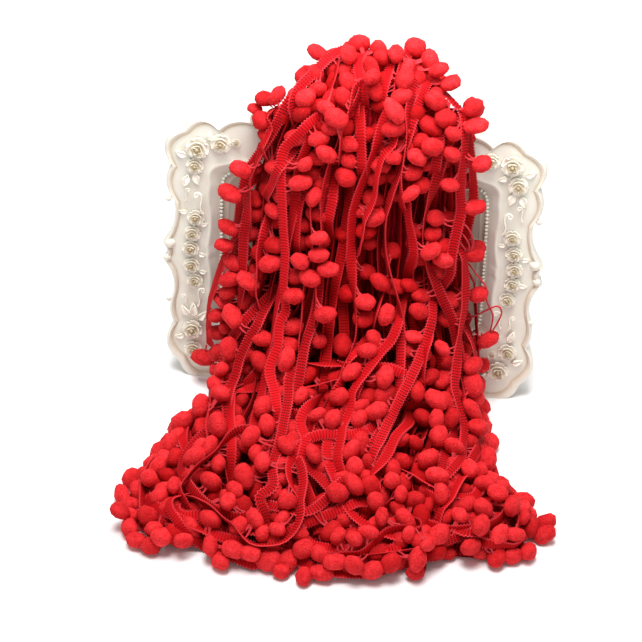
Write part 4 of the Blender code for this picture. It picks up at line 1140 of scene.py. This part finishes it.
# Those that hang by themselves at the hank's edges: the middle and the radius, and where the threads start.
STRAY_POMPOMS = (
    (83, 71, 51, 5.4, 84, 72, 57), (-85.5, 73, 21, 6.0, -84, 73, 29), (-101, -86, 5, 5.2, -94, -79, 5),
    (-63, 76, 156, 5.4, -54, 78, 160), (-69, 73, 141, 5.6, -60, 75, 145), (-70, 72, 118, 5.4, -61, 74, 122),
    (-67, 71, 97, 5.2, -58, 73, 101), (-66, 70, 79, 5.0, -57, 72, 83), (-65, 69, 61, 5.0, -56, 71, 65),
    (-72, 66, 39, 5.2, -63, 68, 43), (-55, 96, 188, 5.0, -46, 98, 192), (-63, 97, 182, 4.2, -55, 99, 186),
    (-25, 103, 215, 5.0, -17, 106, 213), (68, 86, 199, 5.2, 59, 88, 203), (70, 80, 189, 5.6, 61, 82, 193),
    (73, 76, 170, 5.6, 64, 78, 174), (71, 73, 143, 5.4, 62, 75, 147), (75, 71, 110, 5.4, 66, 73, 114),
    (75, 70, 83, 5.6, 66, 72, 87), (52, 97, 209, 5.4, 44, 99, 209), (44, 101, 215, 5.2, 36, 103, 212),
    (-45, -93, 5.5, 5.6, -45, -84, 5), (-34, -91, 5.5, 5.4, -34, -82, 5), (6, -95, 5.5, 5.6, 6, -86, 5),
    (15, -96, 5.5, 5.4, 15, -87, 5), (25, -95, 5.5, 5.7, 25, -86, 5), (37, -92, 5.5, 5.2, 36, -84, 5),
    (58, -85, 5.5, 5.5, 57, -76, 5), (124, -34, 5.5, 5.4, 116, -35, 5), (119, -50, 5.5, 5.4, 112, -44, 5),
    (110, -56, 5.5, 5.4, 104, -49, 5), (-114, -59, 5.5, 5.4, -106, -59, 5),
)  # fmt: skip
TAPE_NEAR = 8.0  # a stray pompom's thread starts on a tape that is within this reach


def pompoms_on(strip, side, rng, share_tucked):
    """Rows for the pompoms on one edge of a strip: centre, radius, anchor, the way the tape runs, the way
    out of it, how far out the pompom may stand and how high the tape lies."""
    lengths = np.arange(rng.uniform(*FIRST_POMPOM), strip.lengths[-1] - 2, POMPOM_PITCH)
    lengths = lengths + rng.uniform(-PITCH_ERROR, PITCH_ERROR, len(lengths))
    lengths = np.clip(lengths, 0, strip.lengths[-1])
    points, sides, _, outs = strip.at(lengths)
    ahead = strip.at(np.minimum(lengths + 2, strip.lengths[-1]))[0]
    ahead = unit(ahead - strip.at(np.maximum(lengths - 2, 0))[0])
    anchors = points + sides * side * TAPE_WIDTH / 2
    radii = rng.uniform(*POMPOM_RADIUS, len(lengths))
    share_tucked = np.where(anchors[:, 2:] < HEAP_TOP, min(share_tucked, TUCKED_IN_HEAP), share_tucked)
    tucked = rng.random((len(lengths), 1)) < share_tucked
    along = ahead * rng.uniform(-LEAN_ALONG, LEAN_ALONG, (len(lengths), 1))
    ways = sides * side * np.where(tucked, 0.5, 1.0) + along
    ways += outs * np.where(tucked, LEAN_UNDER, rng.uniform(*LEAN_OUT, (len(lengths), 1)))
    ways[:, 2] -= LEAN_DOWN
    ways = unit(ways)
    centres = anchors + ways * (radii + rng.uniform(*THREAD_LENGTH, len(lengths)))[:, None]
    proud = np.where(tucked, -TUCKED_DEPTH, MOST_PROUD)
    lifts = np.interp(lengths, strip.lengths, strip.lifts)[:, None]
    return np.concatenate([centres, radii[:, None], anchors, ahead, outs, proud, lifts], axis=1).tolist()


rows = []
for runs, (low, kept_low, kept_else) in ((outer_runs, OUTER_KEPT), (inner_runs, INNER_KEPT)):
    for k, (strip, side) in enumerate(runs):
        on_floor = runs is outer_runs and k >= floor_runs_start
        for row in pompoms_on(strip, side, rng, TUCKED_ON_FLOOR if on_floor else TUCKED):
            if rng.random() < (kept_low if low < row[2] < FALL_TOP else kept_else):
                rows.append(row)
# What the pompoms rest against: the tapes, as three rows of points along each, and the ridged body inside.
TAPE_ROWS = np.array([-2.4, 0, 2.4])[None, :, None]
tape_points = [
    (strip.points[:, None] + strip.sides[:, None] * TAPE_ROWS).reshape(-1, 3)
    for strip, _ in inner_runs + outer_runs
]
tape_tree = tree_of(np.concatenate(tape_points))
for x, y, z, radius, *start in STRAY_POMPOMS:
    tape_point, _, distance = tape_tree.find(start)
    start = tape_point if distance < TAPE_NEAR else start
    rows.append((x, y, z, radius, *start, 1, 0, 0, 0, -1, 0, MOST_PROUD, OUTER_LIFT))
rows = np.array(rows)
centres, radii, anchors, ahead = rows[:, :3].copy(), rows[:, 3], rows[:, 4:7], rows[:, 7:10]
outs, most_proud, lifts = rows[:, 10:13], rows[:, 13], rows[:, 14]

# The pompoms settle: they push each other, the tapes and the body away, their threads pull them back, and
# the frame and the hank's edges hold them.
ROUNDS = 70
SQUEEZE = 0.94  # how much of their width two pompoms keep where they press together
PRESS = 0.5  # how much of an overlap one of two pompoms gives way in a round
TAPE_GAP = 0.4
TAPE_PRESS = 0.25
BODY_DEPTH = 0.8  # of its radius, how far a pompom's middle stays from the body
BODY_PRESS = 0.6
MOST_MOVE = 2.5
PROUD_PRESS = 0.5
THREAD_SLIP = 0.3
FRAME_HALF_WIDTH, FRAME_HEIGHT = 116, 180
FRAME_FRONT, FRAME_BACK = -0.5, 16
REAR_FROM = -4  # from the frame's front plane, where a pompom counts as behind it
FRAME_TOP_Y = 100  # threads that start nearer hang in front of the frame
UNEVEN = 4.0  # how far past or short of the hank's edges a pompom may end
UNEVEN_STEP = 2.4
STRAY_ROOM = 2.0  # how far past them a stray pompom may end
BOX_ROOM = 12
MOST_OVERLAP = 3.0  # past which the later of two pompoms is left out
edge_room = radii + UNEVEN * np.sin(UNEVEN_STEP * np.arange(len(rows)))
edge_room[-len(STRAY_POMPOMS) :] = radii[-len(STRAY_POMPOMS) :] - STRAY_ROOM
body = BVHTree.FromObject(inside, bpy.context.evaluated_depsgraph_get())
low, high = np.array(cad_box[0]) / MM - BOX_ROOM, np.array(cad_box[1]) / MM + BOX_ROOM
low[2] = 0


def push_from_body(centre, radius):
    nearest, normal, _, distance = body.find_nearest(Vector(centre * MM))
    outside = np.dot(centre - np.array(nearest) / MM, np.array(normal)) > 0
    depth = distance / MM if outside else -distance / MM
    return np.array(normal) * max(radius * BODY_DEPTH - depth, 0)


for step in range(ROUNDS):
    tree = tree_of(centres)
    moves = np.zeros_like(centres)
    for k, centre in enumerate(centres):
        for other, j, distance in tree.find_range(centre, radii[k] + POMPOM_RADIUS[1]):
            room = (radii[k] + radii[j]) * SQUEEZE
            if j != k and distance < room:
                moves[k] += (centre - np.array(other)) / max(distance, 0.1) * (room - distance) * PRESS
        if step % 2:
            room = radii[k] + TAPE_GAP
            for other, _, distance in tape_tree.find_range(centre, room):
                moves[k] += (centre - np.array(other)) / max(distance, 0.1) * (room - distance) * TAPE_PRESS
        moves[k] += push_from_body(centre, radii[k]) * BODY_PRESS
    size = np.linalg.norm(moves, axis=1)[:, None]
    centres += moves * np.minimum(1, MOST_MOVE / np.maximum(size, 1e-6))
    pull = centres - anchors
    proud = np.maximum(np.sum(pull * outs, axis=1) - most_proud, 0)
    pull -= outs * proud[:, None] * PROUD_PRESS
    length = np.linalg.norm(pull, axis=1)
    reach = np.clip(length, radii - THREAD_SLIP, radii + MOST_THREAD)
    centres = anchors + pull * (reach / np.maximum(length, 1e-6))[:, None]
    c, s = math.cos(FRAME_LEAN), math.sin(FRAME_LEAN)
    w = (centres[:, 1] - FRAME_FOOT_Y) * c - centres[:, 2] * s
    v = (centres[:, 1] - FRAME_FOOT_Y) * s + centres[:, 2] * c
    beside = (v < FRAME_HEIGHT + radii) & (abs(centres[:, 0]) < FRAME_HALF_WIDTH + radii)
    front = beside & (w > FRAME_FRONT - radii) & (anchors[:, 1] < FRAME_TOP_Y)
    centres[front, 1] -= (w + radii - FRAME_FRONT)[front]
    rear = beside & (w < radii + FRAME_BACK) & (w > REAR_FROM) & (anchors[:, 1] >= FRAME_TOP_Y)
    centres[rear, 1] += (radii + FRAME_BACK - w)[rear]
    centres = within_edges(np.clip(centres, low + radii[:, None], high - radii[:, None]), edge_room)

overlap = np.zeros(len(centres))
tree = tree_of(centres)
for k, centre in enumerate(centres):
    for _, j, distance in tree.find_range(centre, radii[k] + POMPOM_RADIUS[1]):
        if j < k:
            overlap[k] = max(overlap[k], radii[k] + radii[j] - distance)
kept = overlap < MOST_OVERLAP
centres, radii, anchors, ahead, outs, lifts = (part[kept] for part in (centres, radii, anchors, ahead, outs, lifts))
lifts = lifts + np.sum((centres - anchors) * outs, axis=1)

# One ball is shaped and copied, with a few corners pressed in where the shears have cut close. Each copy is
# wider than it is high, and then cut unevenly in its own way.
HANG = 2.6  # how much more its weight turns a pompom than its threads do
SHEARED = 0.035  # how uneven the shears leave it, as a share of its radius
WIDE, DEEP, HIGH = (1.08, 1.4), (0.9, 1.05), (0.8, 0.98)
bpy.ops.object.select_all(action="DESELECT")
bpy.ops.mesh.primitive_ico_sphere_add(subdivisions=2, radius=1)
ball = bpy.context.object
for corner in ball.data.vertices:
    x, y, z = corner.co
    corner.co *= 1 + 0.05 * math.sin(5 * x + 1) * math.cos(4 * y) - 0.03 * (z > 0.8)
matrices = []
for centre, radius, anchor, out in zip(centres, radii, anchors, outs):
    up = Vector((anchor - centre) / np.linalg.norm(anchor - centre))
    up = (up + Vector((0, 0, HANG * (1 - min(abs(out[2]), 1))))).normalized()
    wide = up.cross(Vector(out)).normalized()
    lie = Matrix((wide, up.cross(wide), up)).transposed()
    lie = lie @ Matrix.Rotation(rng.uniform(-0.4, 0.4), 3, "Z") @ Matrix.Rotation(rng.uniform(-0.35, 0.35), 3, "Y")
    matrices.append(scaled_at(centre, radius * np.array([rng.uniform(*size) for size in (WIDE, DEEP, HIGH)]), lie))
pompoms = repeated("pompoms", ball, matrices)
count = len(ball.data.vertices)
shape = np.empty(3 * count * len(centres))
pompoms.data.vertices.foreach_get("co", shape)
shape = shape.reshape(-1, 3)
middles = np.repeat(centres * MM, count, axis=0)
shape = middles + (shape - middles) * (1 + SHEARED * tone_rng.standard_normal((len(shape), 1)).clip(-2, 2))
shape[:, 2] = np.maximum(shape[:, 2], LEAST_HEIGHT * MM)
pompoms.data.vertices.foreach_set("co", shape.ravel())
pompoms.data.update()
# Each pompom's depth among the turns drives painted shade in its colour.
add_values(pompoms, "depth", np.repeat(np.clip((OUTER_LIFT - lifts) / SHADE_DEPTH, 0, 1), count))
add_values(pompoms, "tone", np.repeat(tone_rng.random(len(centres)), count))
add_values(pompoms, "tie", np.tile([corner.co.z for corner in ball.data.vertices], len(centres)))
bpy.data.objects.remove(ball)

# Sheared yarn: velvet matt, with a soft sheen towards the rim, tips under a millimetre across that gather
# in clumps of about 4 mm, painted shade in the dimple where the threads tie it in, and painted shade that
# deepens the further a pompom lies among the turns.
POMPOM_RED = "#CC141C"
POMPOM_DARKER, POMPOM_LIGHTER = "#BA050E", "#F93D42"
YARN_DARKER = "#E2C8CC"
# Painted shade, multiplied in where a pompom lies deep among the turns.
YARN_SHADE = "#D86E78"
yarn, shader = new_material(
    "polyester yarn, sheared",
    POMPOM_RED,
    0.8,
    {"Specular IOR Level": 0.12, "Sheen Weight": 0.06, "Sheen Tint": YARN_SHEEN, "Sheen Roughness": 0.6},
)
place = add_node(yarn, "TexCoord", {}, {}, "Object")
clumps = add_node(yarn, "TexNoise", {}, {"Vector": place, "Scale": 260.0, "Detail": 3.0, "Roughness": 0.6})
tips = add_node(yarn, "TexNoise", {}, {"Vector": place, "Scale": 1500.0, "Detail": 2.0})
nap = add_node(yarn, "Math", {"operation": "MULTIPLY_ADD"}, {0: clumps, 1: 0.7, 2: tips})
spread = add_node(yarn, "MapRange", {}, {"Value": nap, "From Min": 0.55, "From Max": 1.15})
tone = add_node(yarn, "Mix", MIX, {0: spread, 6: linear(POMPOM_DARKER), 7: linear(POMPOM_LIGHTER)}, MIXED)
batch = add_node(yarn, "Attribute", {"attribute_name": "tone"}, {}, "Fac")
# Painted shade in the dimple at each ball's pole, where the threads tie it in; the batch tone is the yarn's own.
tie = add_node(yarn, "Attribute", {"attribute_name": "tie"}, {}, "Fac")
tie = add_node(yarn, "MapRange", {}, {"Value": tie, "From Min": 0.55, "From Max": 1.0, "To Max": 0.7})
for share in (batch, tie):
    tone = add_node(yarn, "Mix", MULTIPLY, {0: share, 6: tone, 7: linear(YARN_DARKER)}, MIXED)
bump = add_node(yarn, "Bump", {}, {"Height": nap, "Strength": 0.7, "Distance": 0.8 * MM})
link(shader, {"Base Color": painted_shade_by_depth(yarn, tone, YARN_SHADE), "Normal": bump})
pompoms.data.materials.append(yarn)
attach(pompoms, "root")


# ---- The threads: each pompom is tied in with two ends of the tape's own yarn, which leave the edge a
# little apart and meet at the ball. A few have slipped and stand out as slack loops.

THREAD_RADIUS = 0.55
THREAD_SPREAD = 1.9
THREAD_SAG = 0.15
THREAD_SHAPE = np.array([0.9, 1.0, 2.1])  # its thickness at the tape, halfway and where the ball takes it in
TIED_IN = 0.75  # how far out of the ball's middle a thread ends, in radii
# The slack loops: x, y, z.
SLACK_THREADS = (
    ((62, 70, 134), (67, 69, 132), (71, 70, 122), (69, 71, 112), (64, 72, 108)),
    ((61, 71, 128), (66, 69, 125), (69, 70, 117), (66, 72, 109), (61, 72, 106)),
    ((60, 71, 122), (64, 69, 120), (67, 70, 114), (64, 72, 108), (60, 72, 105)),
    ((62, 74, 106), (69, 72, 104), (74, 72, 97), (80, 71, 89), (81, 71, 79), (85, 71, 69), (84, 72, 56)),
    ((64, 74, 62), (71, 72, 65), (79, 71, 71), (87, 71, 76), (90, 71, 72), (88, 71, 64), (84, 71, 55)),
)  # fmt: skip

tubes = []
for path in SLACK_THREADS:
    path = evenly(path, 2.0)
    tubes.append(tube(path, np.full(len(path), THREAD_RADIUS), sides=5))
for centre, radius, anchor, way in zip(centres, radii, anchors, ahead):
    for shift in (-1, 1):
        start = anchor + way * shift * THREAD_SPREAD
        towards = centre - start
        end = start + towards * (1 - TIED_IN * radius / np.linalg.norm(towards))
        middle = (start + end) / 2 + np.array([0, 0, -THREAD_SAG]) * np.linalg.norm(end - start)
        new, sides = tube([start, middle, end], THREAD_RADIUS * THREAD_SHAPE, sides=4)
        new[:, 2] = np.maximum(new[:, 2], LEAST_HEIGHT)
        tubes.append((new, sides))
corners, faces = [], []
for new, sides in tubes:
    faces += [tuple(index + len(corners) for index in side) for side in sides]
    corners.extend(new)
threads = mesh_piece("pompom_threads", np.array(corners) * MM, faces)
close_and_smooth(threads, 80)

# Twisted yarn: matt red, lighter and darker along its plies, every half millimetre or so.
THREAD_RED, THREAD_DARKER, THREAD_LIGHTER = "#D81F28", "#A01420", "#E0303A"
twisted, shader = new_material("polyester yarn, twisted", THREAD_RED, 0.85)
tone, _, _ = mottled(twisted, 1800.0, 1.0, THREAD_DARKER, THREAD_LIGHTER)
link(shader, {"Base Color": tone})
threads.data.materials.append(twisted)
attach(threads, "root")
